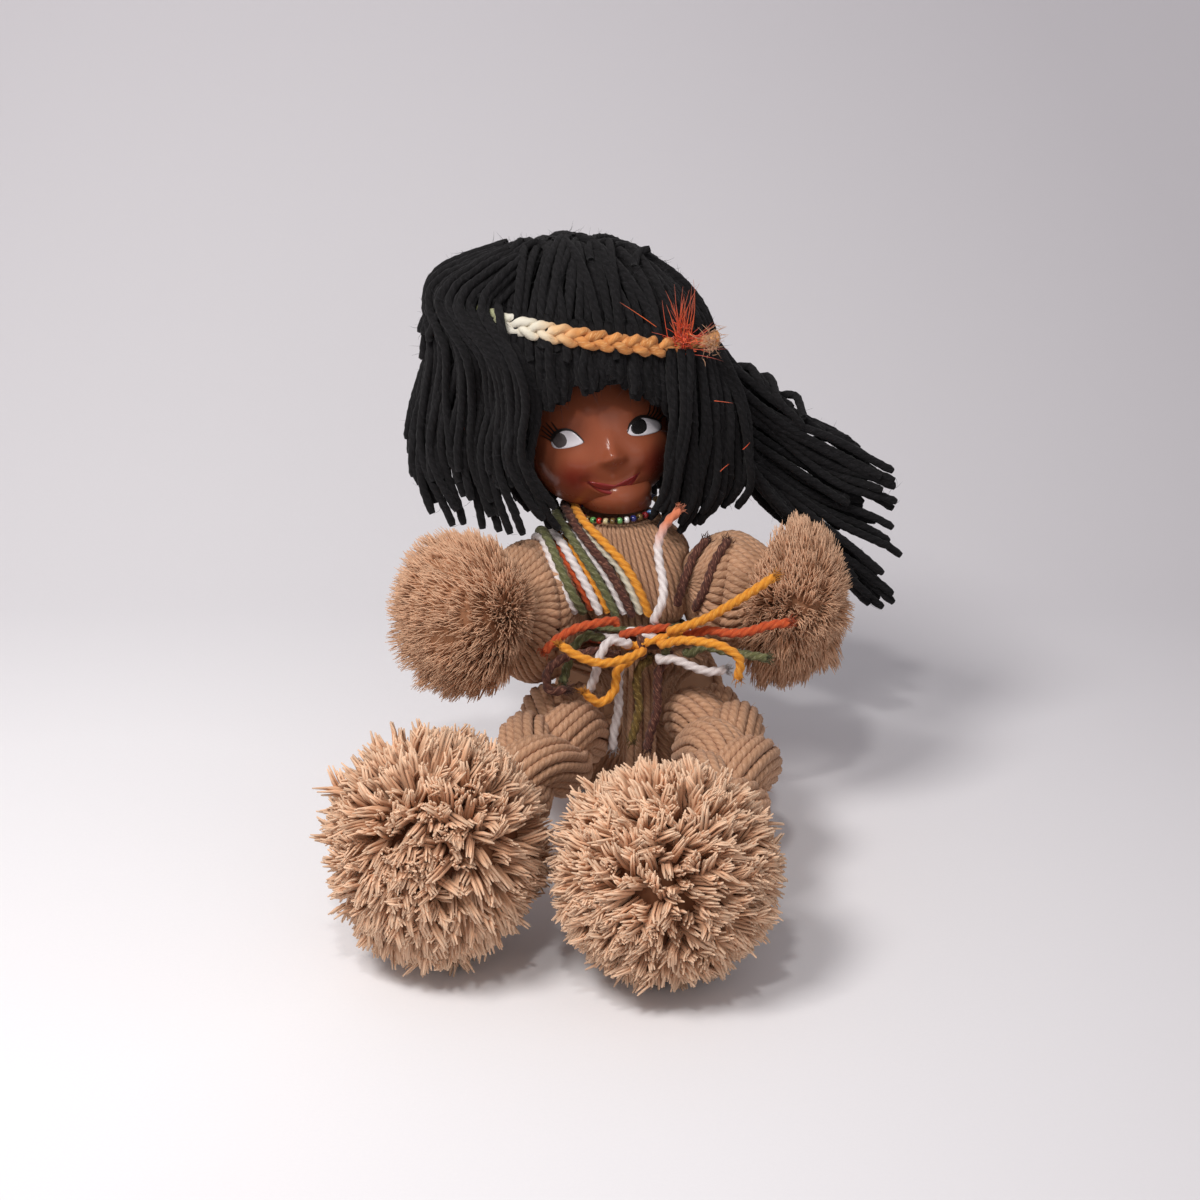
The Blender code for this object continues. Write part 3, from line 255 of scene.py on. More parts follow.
# %% [markdown]
# ## How a plied yarn is made
# Craft yarn is three plies twisted together. The cross-section is a closed outline with three lobes. A curve
# sweeps it along the yarn's route and turns it a little at every point, once round in about 12 mm, so the lobes
# wind round each other as the plies do. The swept curve is then made a mesh and its loose end caps are merged.

# %% The outline of a plied yarn
def ply_outline(name, plies, points, depth):
    """A closed outline with a lobe for each ply, which reaches one unit from its middle."""
    curve = bpy.data.curves.new(name, "CURVE")
    curve.dimensions = "2D"
    line = curve.splines.new("POLY")
    line.points.add(points - 1)
    line.use_cyclic_u = True
    for i, place in enumerate(line.points):
        angle = 2 * math.pi * i / points
        reach = 1 - depth * (1 - math.cos(plies * angle)) / 2
        place.co = (reach * math.cos(angle), reach * math.sin(angle), 0, 1)
    outline = bpy.data.objects.new(name, curve)
    bpy.context.scene.collection.objects.link(outline)
    return outline


three_ply = ply_outline("three_ply", 3, 12, 0.30)
soft_ply = ply_outline("soft_ply", 4, 12, 0.17)
coarse_ply = ply_outline("coarse_ply", 3, 9, 0.15)
print("points round a yarn:", len(three_ply.data.splines[0].points))

# %% Even routes
PITCH = 0.0145


def even_route(points, gap):
    """Points a fixed gap apart on a smooth line through the given ones, and its length."""
    rows = np.array([tuple(p) for p in points], float)
    rows = np.vstack([2 * rows[0] - rows[1], rows, 2 * rows[-1] - rows[-2]])
    t = np.linspace(0, 1, 8, endpoint=False)[:, None]
    parts = [
        0.5 * (2 * b + (c - a) * t + (2 * a - 5 * b + 4 * c - d) * t**2 + (3 * b - 3 * c + d - a) * t**3)
        for a, b, c, d in zip(rows[:-3], rows[1:-2], rows[2:-1], rows[3:])
    ]
    dense = np.vstack([*parts, rows[-2][None]])
    far = np.concatenate([[0.0], np.cumsum(np.linalg.norm(np.diff(dense, axis=0), axis=1))])
    at = np.linspace(0, far[-1], max(4, round(far[-1] / gap) + 1))
    return np.stack([np.interp(at, far, dense[:, k]) for k in range(3)], axis=1), far[-1]


def deselect():
    if bpy.context.object and bpy.context.object.mode != "OBJECT":
        bpy.ops.object.mode_set(mode="OBJECT")
    bpy.ops.object.select_all(action="DESELECT")


def only(thing):
    """Selects one object and makes it the active one."""
    deselect()
    thing.select_set(True)
    bpy.context.view_layer.objects.active = thing
    return thing


deselect()

# %% Lay yarns along routes
def lay_yarns(name, routes, width, material, outline=three_ply, gap=0.0014, swell=None, seed=0, tip=0.6, pitch=PITCH):
    """One mesh of plied yarns along routes. swell gives the width's share at places from 0 to 1 along a yarn."""
    chance = np.random.default_rng(seed)
    curve = bpy.data.curves.new(name, "CURVE")
    curve.dimensions = "3D"
    curve.bevel_mode = "OBJECT"
    curve.bevel_object = outline
    curve.use_fill_caps = True
    counts, lengths = [], []
    for number, points in enumerate(routes):
        route, length = even_route(points, gap)
        count = len(route)
        share = np.linspace(0, 1, count)
        radius = np.full(count, width / 2)
        if swell is not None:
            radius *= swell(number, share)
        radius[[0, -1]] *= tip
        line = curve.splines.new("POLY")
        line.points.add(count - 1)
        line.points.foreach_set("co", np.column_stack([route, np.ones(count)]).ravel())
        line.points.foreach_set("radius", radius)
        line.points.foreach_set("tilt", chance.uniform(0, 6.28) - 2 * math.pi * share * length / pitch)
        counts.append(count)
        lengths.append(length)
    thing = bpy.data.objects.new(name, curve)
    bpy.context.scene.collection.objects.link(thing)
    only(thing)
    bpy.ops.object.convert(target="MESH")
    thing = bpy.context.object
    stretch_uv(thing.data, counts, lengths, len(outline.data.splines[0].points))
    close_doubles(thing)
    thing.data.materials.clear()
    thing.data.materials.append(material)
    thing.data.shade_smooth()
    deselect()
    return thing


def stretch_uv(mesh, counts, lengths, sides):
    """Scales the first UV axis to the yarn's length in centimetres, so that fibres keep their size."""
    layer = mesh.uv_layers[0].data
    uv = np.empty(len(mesh.loops) * 2)
    layer.foreach_get("uv", uv)
    caps = len(mesh.loops) - sum((count - 1) * sides * 4 for count in counts)
    scale = np.concatenate(
        [np.ones(caps)] + [np.full((count - 1) * sides * 4, length * 100) for count, length in zip(counts, lengths)]
    )
    uv[0::2] *= scale
    layer.foreach_set("uv", uv)


def close_doubles(thing, apart=1e-6):
    """Merges points that lie on each other, which closes the ends of a swept curve."""
    shape = bmesh.new()
    shape.from_mesh(thing.data)
    bmesh.ops.remove_doubles(shape, verts=shape.verts, dist=apart)
    shape.to_mesh(thing.data)
    shape.free()


# %% [markdown]
# ## The bow's and the sash's yarns
# These are free cords: each has a real length and leaves the knot, the waist or the neck at a point. Their
# routes repeat the solids' routes, so the colours lie where the solids do.

# %% The cords' routes
BOW = 0.0042
SASH = 0.0038
CORDS = {
    "curl_brown_left": (BOW, brown_wool, "brown_yarn", "bare", [
        (-.0101, -.0375, .0851), (-.0112, -.0385, .0826), (-.0179, -.0412, .0866), (-.0263, -.0437, .0861),
        (-.0345, -.0467, .0851), (-.041, -.0489, .0798), (-.0402, -.0502, .0716), (-.0325, -.051, .072)]),
    "loop_gold_down": (BOW, gold_wool, "gold_yarn", "bare", [
        (-.0039, -.0402, .0849), (-.0043, -.0422, .0828), (-.0102, -.0462, .0796), (-.0118, -.0494, .0709),
        (-.0182, -.0525, .0665), (-.025, -.054, .0725)]),
    "loop_gold_left": (BOW, gold_wool, "gold_yarn", "bare", [
        (.0003, -.0427, .0885), (.0001, -.0455, .0879), (-.0075, -.0522, .0873), (-.0171, -.0558, .0869),
        (-.0268, -.0565, .0902), (-.0355, -.055, .0955)]),
    "loop_gold_right": (BOW, gold_wool, "gold_yarn", "bare", [
        (.0091, -.0427, .0912), (.0093, -.0457, .0914), (.0167, -.0509, .0955), (.0254, -.0557, .097),
        (.0347, -.0592, .0964), (.0424, -.0601, .0907), (.042, -.059, .081)]),
    "loop_white_right": (BOW, white_wool, "white_yarn", "bare", [
        (.0082, -.0405, .0845), (.0084, -.0425, .0825), (.0146, -.0462, .0846), (.022, -.0485, .0823),
        (.0297, -.0498, .0803), (.0375, -.049, .081)]),
    "strand_white_left": (BOW, white_wool, "white_yarn", "bare", [
        (-.0055, -.0421, .0912), (-.0061, -.045, .0914), (-.0136, -.0472, .0939), (-.0182, -.0497, .087),
        (-.0201, -.0495, .0783), (-.0225, -.047, .07)]),
    "tail_brown_down": (BOW, brown_wool, "brown_yarn", "bare", [
        (.0122, -.0351, .0832), (.0127, -.0348, .0803), (.0081, -.0391, .0763), (.0075, -.0417, .0675),
        (.0073, -.0435, .0583), (.0048, -.044, .0493), (.003, -.044, .04)]),
    "tail_gold_right": (BOW, gold_wool, "gold_yarn", "bare", [
        (.0128, -.0407, .0952), (.0134, -.043, .0969), (.0209, -.0468, .1011), (.0286, -.0496, .1056),
        (.0357, -.0523, .1111), (.0428, -.0547, .1168), (.0499, -.0565, .1226), (.057, -.058, .1285)]),
    "tail_green_left": (BOW, green_wool, "green_yarn", "bare", [
        (-.0156, -.0359, .0905), (-.0185, -.0359, .0905), (-.0237, -.037, .092), (-.0296, -.0378, .0867),
        (-.0322, -.0401, .0793), (-.0345, -.044, .0725)]),
    "tail_green_right": (BOW, green_wool, "green_yarn", "bare", [
        (.0199, -.0377, .0861), (.0213, -.0389, .0839), (.0278, -.0419, .0886), (.0368, -.0461, .0885),
        (.0459, -.0502, .0885), (.055, -.054, .0885)]),
    "tail_olive_down": (BOW, olive_wool, "olive_yarn", "bare", [
        (.004, -.0351, .0825), (.004, -.0347, .0795), (-.0004, -.0388, .0774), (-.0018, -.0411, .0693),
        (-.0005, -.0432, .061), (-.0019, -.044, .0524), (-.004, -.044, .044)]),
    "tail_rust_left": (BOW, rust_wool, "rust_yarn", "bare", [
        (-.0105, -.0359, .096), (-.0117, -.0359, .0987), (-.0193, -.0398, .0991), (-.028, -.0422, .0978),
        (-.0359, -.0448, .0943), (-.0425, -.047, .0885)]),
    "tail_rust_right": (BOW, rust_wool, "rust_yarn", "bare", [
        (.0199, -.0395, .0931), (.0212, -.0418, .0944), (.0295, -.0452, .0979), (.0377, -.0505, .0988),
        (.0462, -.0547, .1013), (.0546, -.0577, .1054), (.064, -.059, .1075)]),
    "tail_white_down": (BOW, white_wool, "white_yarn", "bare", [
        (-.0042, -.0351, .0832), (-.0047, -.0348, .0803), (-.0092, -.0391, .0775), (-.0098, -.0416, .0683),
        (-.0098, -.0434, .059), (-.0116, -.044, .0495), (-.0125, -.044, .04)]),
    "tail_white_up": (BOW, tipped_wool, "white_yarn", "bare", [
        (.0062, -.0375, .0983), (.0063, -.0383, .1012), (.0093, -.0382, .1087), (.0097, -.0326, .1157),
        (.0081, -.0275, .1231), (.0078, -.0224, .1306), (.0113, -.0179, .1375), (.0175, -.015, .1435)]),
    "sash_brown": (SASH, brown_wool, "brown_yarn", "object", [
        (-.0034, -.0312, .0985), (-.0084, -.0298, .1094), (-.0144, -.0258, .1189), (-.0213, -.0199, .1264),
        (-.028, -.0116, .1328), (-.0322, -.0013, .1365), (-.0341, .0106, .1364), (-.032, .022, .1334),
        (-.024, .0311, .1283), (-.015, .0342, .1209), (-.0063, .0351, .1125), (.0006, .033, .1029),
        (.0066, .0293, .0931)]),
    "sash_cream": (SASH, cream_wool, "cream_yarn", "object", [
        (.0002, -.0277, .0985), (-.0041, -.0258, .1091), (-.0096, -.0219, .1185), (-.0171, -.0169, .1253),
        (-.0249, -.0097, .1304), (-.0303, -.0001, .1324), (-.0324, .0113, .1327), (-.0278, .0222, .1304),
        (-.0189, .03, .1264), (-.0095, .0319, .1198), (-.001, .0319, .1118), (.0049, .0286, .1025),
        (.0102, .0245, .0931)]),
    "sash_gold_inner": (SASH, gold_wool, "gold_yarn", "object", [
        (.0041, -.0305, .0985), (-.0007, -.0291, .1105), (-.0072, -.0256, .121), (-.0158, -.0202, .129),
        (-.0242, -.0123, .1354), (-.0282, -.0006, .1369), (-.0303, .0122, .1382), (-.0277, .0242, .1363),
        (-.0182, .033, .131), (-.008, .0349, .1231), (.0016, .0348, .114), (.0083, .0312, .1036),
        (.0141, .0261, .0931)]),
    "sash_gold_middle": (SASH, gold_wool, "gold_yarn", "object", [
        (-.0142, -.026, .0985), (-.0181, -.0242, .1069), (-.0226, -.0206, .1142), (-.0273, -.0152, .1197),
        (-.0322, -.0082, .1242), (-.0377, -.001, .1244), (-.0398, .0068, .1212), (-.0347, .0177, .1232),
        (-.0282, .0251, .119), (-.0215, .029, .1144), (-.0146, .0306, .1084), (-.0091, .0296, .1009),
        (-.0042, .0275, .0931)]),
    "sash_green_inner": (SASH, green_wool, "green_yarn", "object", [
        (-.0106, -.0305, .0985), (-.0153, -.0286, .1084), (-.0207, -.0247, .117), (-.0265, -.0185, .1242),
        (-.0321, -.0105, .1303), (-.0362, -.0009, .133), (-.038, .0101, .1331), (-.0358, .0203, .1303),
        (-.0288, .0283, .1252), (-.0209, .0323, .1184), (-.0131, .0344, .1108), (-.0065, .0335, .1021),
        (-.0006, .0305, .0931)]),
    "sash_green_outer": (SASH, green_wool, "green_yarn", "object", [
        (-.025, -.0268, .0985), (-.0289, -.0297, .1065), (-.033, -.0272, .1141), (-.0364, -.0226, .1206),
        (-.0397, -.0145, .1258), (-.0432, -.0046, .1289), (-.0452, .0042, .1262), (-.0449, .0124, .1219),
        (-.0395, .0186, .1173), (-.033, .0253, .1138), (-.0262, .0279, .1079), (-.0203, .029, .1008),
        (-.015, .028, .0931)]),
    "sash_rust": (SASH, rust_wool, "rust_yarn", "object", [
        (-.0214, -.0227, .0985), (-.025, -.0217, .1062), (-.029, -.019, .1131), (-.033, -.0156, .1188),
        (-.0371, -.008, .1228), (-.0421, -.0006, .1242), (-.0438, .007, .1215), (-.0397, .0136, .1175),
        (-.0337, .0202, .1155), (-.0274, .0254, .1124), (-.0211, .0275, .107), (-.016, .0273, .1002),
        (-.0114, .0262, .0931)]),
    "sash_white_inner": (SASH, white_wool, "white_yarn", "object", [
        (-.007, -.0277, .0985), (-.0114, -.0259, .108), (-.0166, -.022, .1164), (-.0225, -.0165, .1226),
        (-.0286, -.0093, .1278), (-.0342, -.0005, .1285), (-.0362, .0099, .129), (-.0319, .0204, .1275),
        (-.0242, .0276, .1233), (-.0162, .0307, .1173), (-.0084, .0321, .1102), (-.0024, .0301, .1017),
        (.003, .027, .0931)]),
    "sash_white_middle": (SASH, white_wool, "white_yarn", "object", [
        (-.0178, -.028, .0985), (-.0219, -.0262, .1071), (-.0264, -.0222, .1145), (-.031, -.0174, .121),
        (-.0355, -.0096, .126), (-.04, -.0015, .1274), (-.0419, .0078, .1255), (-.0387, .0172, .1233),
        (-.0325, .0256, .12), (-.0257, .0303, .115), (-.0189, .0322, .1086), (-.013, .0322, .1011),
        (-.0078, .0305, .0931)]),
    "sash_white_outer": (SASH, white_wool, "white_yarn", "object", [
        (-.0286, -.0262, .0985), (-.0321, -.0281, .106), (-.0356, -.0256, .1128), (-.0384, -.0214, .1184),
        (-.0411, -.0141, .123), (-.0441, -.0043, .1256), (-.0469, .0028, .1236), (-.0469, .0105, .1197),
        (-.0416, .0155, .1155), (-.035, .0191, .1115), (-.0286, .0219, .1067), (-.0234, .0228, .1001),
        (-.0186, .0227, .0931)]),
    "shoulder_yarn_inner": (BOW, brown_wool, "brown_yarn", "bare", [
        (.016, -.0234, .1005), (.0176, -.0208, .1052), (.0193, -.0179, .1098), (.0212, -.0161, .1148),
        (.0233, -.0139, .1196), (.0263, -.0113, .1236), (.03, -.0083, .1267)]),
    "shoulder_yarn_outer": (BOW, brown_wool, "brown_yarn", "bare", [
        (.024, -.0217, .098), (.0262, -.0242, .1035), (.0285, -.025, .1094), (.0305, -.0237, .1153),
        (.0328, -.0207, .1207), (.0358, -.017, .1247), (.039, -.0121, .1277)]),
}
print("cords:", len(CORDS))

# %% Lay the cords
for number, (name, (width, material, slot, far_end, points)) in enumerate(CORDS.items()):
    piece = lay_yarns(f"{name}_yarn", [points], width * (1.06 if width == BOW else 1.14), material, gap=0.0011, seed=number)
    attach(piece, "torso")
    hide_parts(name)
print("bow and sash yarns laid")

# %% [markdown]
# ## Combing yarn over a solid
# The body and the arms are hanks: yarns that lie side by side over a form. Rays shot at the solid from outside
# find where its surface is, and the yarns' middles are set just under that, so what shows is only yarn. Where
# the hank is tied the yarns are pressed thinner, by as much as their spacing shrinks.

# %% Rays on the solids
YARN = 0.0042


def tree_of(name):
    mesh = frame["nodes"][name].data
    return BVHTree.FromPolygons([v.co for v in mesh.vertices], [tuple(p.vertices) for p in mesh.polygons])


def surface_hit(tree, start, end):
    """Where a line from outside first meets a solid, or its end."""
    way = (end - start)
    place, _, _, _ = tree.ray_cast(start, way.normalized(), way.length)
    return place if place is not None else end


def pressed(spacing_of):
    """The width's share along each yarn, from the room it has."""
    def swell(number, share):
        room = spacing_of[number]
        return np.interp(share, np.linspace(0, 1, len(room)), room)
    return swell


def ride_as(piece, body, slot, *nodes):
    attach(piece, body)
    if nodes:
        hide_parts(*nodes)
    return piece


# %% The body's yarns
BODY_YARNS = 56
body_tree = tree_of("body_bundle")
BODY_HEIGHTS = np.array([0.0022, 0.006, 0.014, 0.024, 0.034, 0.044, 0.053, 0.060, 0.066, 0.071, 0.075, 0.079, 0.084,
                         0.090, 0.097, 0.104, 0.111, 0.118, 0.124, 0.1285, 0.1315])
core_rings, body_routes, body_room = [], [], []
for i in range(BODY_YARNS):
    angle = 2 * math.pi * i / BODY_YARNS
    out = Vector((math.cos(angle), math.sin(angle), 0))
    route, room = [], []
    for height in BODY_HEIGHTS:
        middle = Vector((
            np.interp(height, [0.066, 0.084, 0.1315], [-0.0005, -0.002, -0.0100]),
            np.interp(height, [0.0, 0.05, 0.066, 0.084, 0.113, 0.1315], [0.008, 0.0064, 0.0032, 0.0, 0.004, 0.008]),
            min(max(float(height), 0.0008), 0.1308),
        ))
        hit = surface_hit(body_tree, middle + out * 0.09, middle)
        reach = max((hit - middle).length - 0.0015, 0.008)
        place = middle + out * reach
        place.z = max(float(height), YARN / 2)
        route.append(place)
        room.append(min(1.08, max(0.52, 2 * math.pi * reach / BODY_YARNS / YARN * 1.16)))
    low, high = route[0].copy(), route[-1].copy()
    inward = Vector((-out.x, -out.y, 0))
    route = [low + inward * 0.014, low + inward * 0.006, *route, high + inward * 0.0035 + Vector((0, 0, 0.0006))]
    room = [0.6, 0.8, *room, 0.6]
    body_routes.append(route)
    body_room.append(room)
body_yarns = lay_yarns("body_yarns", body_routes, YARN, tan_wool, soft_ply, gap=0.0023, swell=pressed(body_room), seed=3)
ride_as(body_yarns, "torso", "tan_yarn", "body_bundle")
print("body yarns:", BODY_YARNS, "triangles:", len(body_yarns.data.polygons) * 2)

# %% A mesh from rings
def skin(name, rings, material):
    """A closed mesh over rings of points, shaded smooth."""
    shape = bmesh.new()
    rows = [[shape.verts.new(point) for point in ring] for ring in rings]
    sides = len(rows[0])
    for low, high in zip(rows, rows[1:]):
        for i in range(sides):
            shape.faces.new((low[i], low[(i + 1) % sides], high[(i + 1) % sides], high[i]))
    shape.faces.new(list(reversed(rows[0])))
    shape.faces.new(rows[-1])
    bmesh.ops.recalc_face_normals(shape, faces=shape.faces)
    mesh = bpy.data.meshes.new(name)
    shape.to_mesh(mesh)
    shape.free()
    thing = bpy.data.objects.new(name, mesh)
    bpy.context.scene.collection.objects.link(thing)
    mesh.materials.append(material)
    mesh.shade_smooth()
    return thing


inner = []
for k in range(len(BODY_HEIGHTS)):
    ring = []
    for i in range(BODY_YARNS):
        place = body_routes[i][k + 2]
        middle = sum((body_routes[j][k + 2] for j in range(BODY_YARNS)), Vector()) / BODY_YARNS
        ring.append(place + (middle - place).normalized() * 0.0004)
    inner.append(ring)
body_core = skin("body_core", inner, tan_wool)
ride_as(body_core, "torso", "tan_yarn")
print("body core rings:", len(inner))

# %% [markdown]
# ## Arms
# An arm is a short fat bulb of the same yarn, which runs from the shoulder to a tight tie at the wrist.

# %% The arms' yarns
def axis_frame(along):
    """Two directions square to an axis."""
    along = along.normalized()
    side = along.cross(Vector((0, 0, 1))).normalized()
    return side, side.cross(along).normalized()


def turned_ring(middle, along, start, radius, count, sag):
    """Points round an axis from a start direction. Those under the middle hang lower by the sag's share."""
    first = (start - along * start.dot(along)).normalized()
    second = along.cross(first)
    ring = []
    for i in range(count):
        angle = 2 * math.pi * i / count
        point = middle + (first * math.cos(angle) + second * math.sin(angle)) * radius
        if point.z < middle.z:
            point.z = middle.z - (middle.z - point.z) * (1 + sag)
        ring.append(point)
    return ring


def comb_arm(side, shoulder, ball, wrist, inward, count, sag, seed):
    """A bulb of yarns that fans out of the body's side, swells, hangs a little and gathers at the wrist."""
    way = (wrist - shoulder).normalized()
    reach = (wrist - shoulder).length
    middle_way = (way - inward).normalized()
    skin_radius = ball + 0.0012 - YARN / 2
    up = Vector((0, 0, 1))
    stations = [  # place, direction, radius, share of the sag
        (shoulder + inward * ball * 0.96, -inward, 0.22 * skin_radius, 0.2),
        (shoulder + inward * ball * 0.84, -inward, 0.52 * skin_radius, 0.7),
        (shoulder + inward * ball * 0.46, (middle_way - inward).normalized(), 0.88 * skin_radius, 1.0),
        (shoulder, middle_way, skin_radius, 1.0),
        (shoulder + way * reach * 0.36, (middle_way + way).normalized(), 0.93 * skin_radius, 0.95),
        (shoulder + way * reach * 0.68, way, 0.74 * skin_radius, 0.6),
        (shoulder + way * reach * 0.90, way, 0.47 * skin_radius, 0.25),
        (wrist + way * 0.001, way, 0.0104, 0.0),
        (wrist + way * 0.006, way, 0.0088, 0.0),
    ]
    rings = [turned_ring(place, axis, up, radius, count, sag * share) for place, axis, radius, share in stations]
    routes, rooms = [], []
    for i in range(count):
        routes.append([ring[i] for ring in rings])
        rooms.append([
            min(1.12, max(0.34, 0.60 * (ring[i] - ring[i - 1]).length / YARN + 0.60 * (ring[(i + 1) % count] - ring[i]).length / YARN))
            for ring in rings])
    yarns = lay_yarns(f"arm_yarns_{side}", routes, YARN * 1.08, tan_wool, soft_ply, gap=0.0015, swell=pressed(rooms), seed=seed)
    ride_as(yarns, f"arm_{side}", "tan_yarn", f"arm_bundle_{side}")
    inner = []
    for ring in rings:
        centre = sum(ring, Vector()) / count
        inner.append([p + (centre - p).normalized() * min(0.0006, (centre - p).length / 2) for p in ring])
    ride_as(skin(f"arm_core_{side}", inner, tan_wool), f"arm_{side}", "tan_yarn")
    return yarns


LEFT_SHOULDER, LEFT_WRIST = Vector((-0.048, -0.006, 0.097)), Vector((-0.064, -0.038, 0.104))
RIGHT_SHOULDER, RIGHT_WRIST = Vector((0.040, -0.003, 0.104)), Vector((0.0635, -0.0215, 0.1025))
left_arm = comb_arm("left", LEFT_SHOULDER, 0.026, LEFT_WRIST, Vector((0.95, -0.25, 0.15)).normalized(), 42, 0.50, 5)
right_arm = comb_arm("right", RIGHT_SHOULDER, 0.0225, RIGHT_WRIST, Vector((-0.92, -0.35, 0.15)).normalized(), 36, 0.36, 6)
print("arms combed")

# %% [markdown]
# ## Legs
# Each leg is a three-strand braid of hanks. A braid's strand swings from side to side once in a pitch and passes
# over and under twice as often, and the three strands do so a third of a pitch apart. Here each strand is itself
# a hank: fifteen yarns side by side round a core, which lie almost straight and gather at the ankle's tie.

# %% The braided legs
HANK = 0.0122
SWING, RISE, BRAID_PITCH = 0.0100, 0.0068, 0.118
ANKLE = 0.0130


def frames_along(route):
    """A tangent, a level side and an upper direction at each point of a route."""
    ahead = np.gradient(route, axis=0)
    ahead /= np.linalg.norm(ahead, axis=1)[:, None]
    side = np.cross(ahead, np.array([0.0, 0.0, 1.0]))
    side /= np.linalg.norm(side, axis=1)[:, None]
    return ahead, side, np.cross(side, ahead)


def braid_leg(side, hip, knee, ankle, seed, start_turn):
    along = (ankle - knee).normalized()
    path = [hip, hip.lerp(knee, 0.5), knee, ankle, ankle + along * ANKLE / 2]
    route, length = even_route(path, 0.002)
    _, level, _ = frames_along(route)
    travelled = np.linspace(0, length, len(route))
    start_gather = np.interp(travelled, [0, 0.012], [0.72, 1.0])
    gather = np.clip((length - travelled - ANKLE / 2) / (1.6 * ANKLE), 0, 1)
    gather = (ANKLE * 0.46 + (HANK - ANKLE * 0.46) * np.sin(gather * math.pi / 2)) / HANK
    chance = np.random.default_rng(seed)
    routes, rooms, hearts = [], [], []
    yarns_round = 15
    for hank in range(3):
        turn = 2 * math.pi * (travelled / BRAID_PITCH + hank / 3) + start_turn
        middle = route + level * (np.sin(turn) * SWING * gather)[:, None]
        middle[:, 2] -= np.sin(2 * turn) * RISE * gather
        hearts.append([Vector(p) for p in middle[::3]])
        ahead, flat, upper = frames_along(middle)
        for k in range(yarns_round):
            swirl = 2 * math.pi * (k + chance.uniform(-0.12, 0.12)) / yarns_round + travelled / length * 0.9
            out = flat * np.cos(swirl)[:, None] + upper * np.sin(swirl)[:, None]
            reach = (HANK - YARN / 2 + chance.uniform(-0.0003, 0.0004)) * gather * start_gather
            routes.append(middle + out * reach[:, None])
            rooms.append(np.clip(gather * 1.10, 0.5, 1.08))
    yarns = lay_yarns(f"leg_yarns_{side}", routes, YARN * 1.10, tan_wool, soft_ply, gap=0.0022, swell=pressed(rooms), seed=seed)
    ride_as(yarns, f"leg_{side}", "tan_yarn", f"leg_bundle_{side}")
    cores = lay_yarns(f"leg_cores_{side}", hearts, HANK * 1.5, tan_wool, coarse_ply, gap=0.004, seed=seed, tip=0.7,
                      swell=lambda number, share: np.interp(share, [0, 0.12, 0.75, 1.0], [0.75, 1.0, 1.0, 0.5]))
    ride_as(cores, f"leg_{side}", "tan_yarn")
    return yarns


LEFT_HIP, LEFT_KNEE = Vector((-0.030, -0.014, 0.044)), Vector((-0.042, -0.066, 0.048))
LEFT_ANKLE = Vector((-0.0665, -0.116, 0.050))
RIGHT_HIP, RIGHT_KNEE = Vector((0.030, -0.016, 0.044)), Vector((0.0385, -0.082, 0.049))
RIGHT_ANKLE = Vector((0.026, -0.134, 0.049))
left_leg = braid_leg("left", LEFT_HIP, LEFT_KNEE, LEFT_ANKLE, 7, 5.53)
right_leg = braid_leg("right", RIGHT_HIP, RIGHT_KNEE, RIGHT_ANKLE, 8, 3.46)
print("leg yarns:", len(left_leg.data.polygons) * 2, "triangles")

# %% Ties at the wrists and ankles
def wind(middle, along, radius, turns, pitch, start=0.0):
    """A route of turns round an axis."""
    first, second = axis_frame(along)
    steps = int(turns * 20)
    return [
        middle + along.normalized() * pitch * (i / 20 - turns / 2)
        + (first * math.cos(start + math.pi * i / 10) + second * math.sin(start + math.pi * i / 10)) * radius
        for i in range(steps + 1)
    ]


for side, limb, start, end, radius in (
    ("left", "wrist", LEFT_SHOULDER, LEFT_WRIST, 0.0118), ("right", "wrist", RIGHT_SHOULDER, RIGHT_WRIST, 0.0118),
    ("left", "ankle", LEFT_KNEE, LEFT_ANKLE, 0.0146), ("right", "ankle", RIGHT_KNEE, RIGHT_ANKLE, 0.0146),
):
    way = (end - start).normalized()
    place = end + way * (0.0024 if limb == "wrist" else 0.0)
    tie = lay_yarns(f"{limb}_tie_yarn_{side}", [wind(place, way, radius, 2.2, 0.0017)], 0.0021, tan_wool, seed=2)
    ride_as(tie, f"{'arm' if limb == 'wrist' else 'leg'}_{side}", "tan_yarn", f"{limb}_tie_{side}")
print("ties wound")

# %% [markdown]
# ## Pompoms
# A pompom is hundreds of cut yarns that are tied in the middle and brushed open. Each yarn opens into a tuft of
# finer strands. One strand is a thin tapered tube with few faces, and numpy places all of them at once, because
# thousands of separate objects would be slow to make and to render.

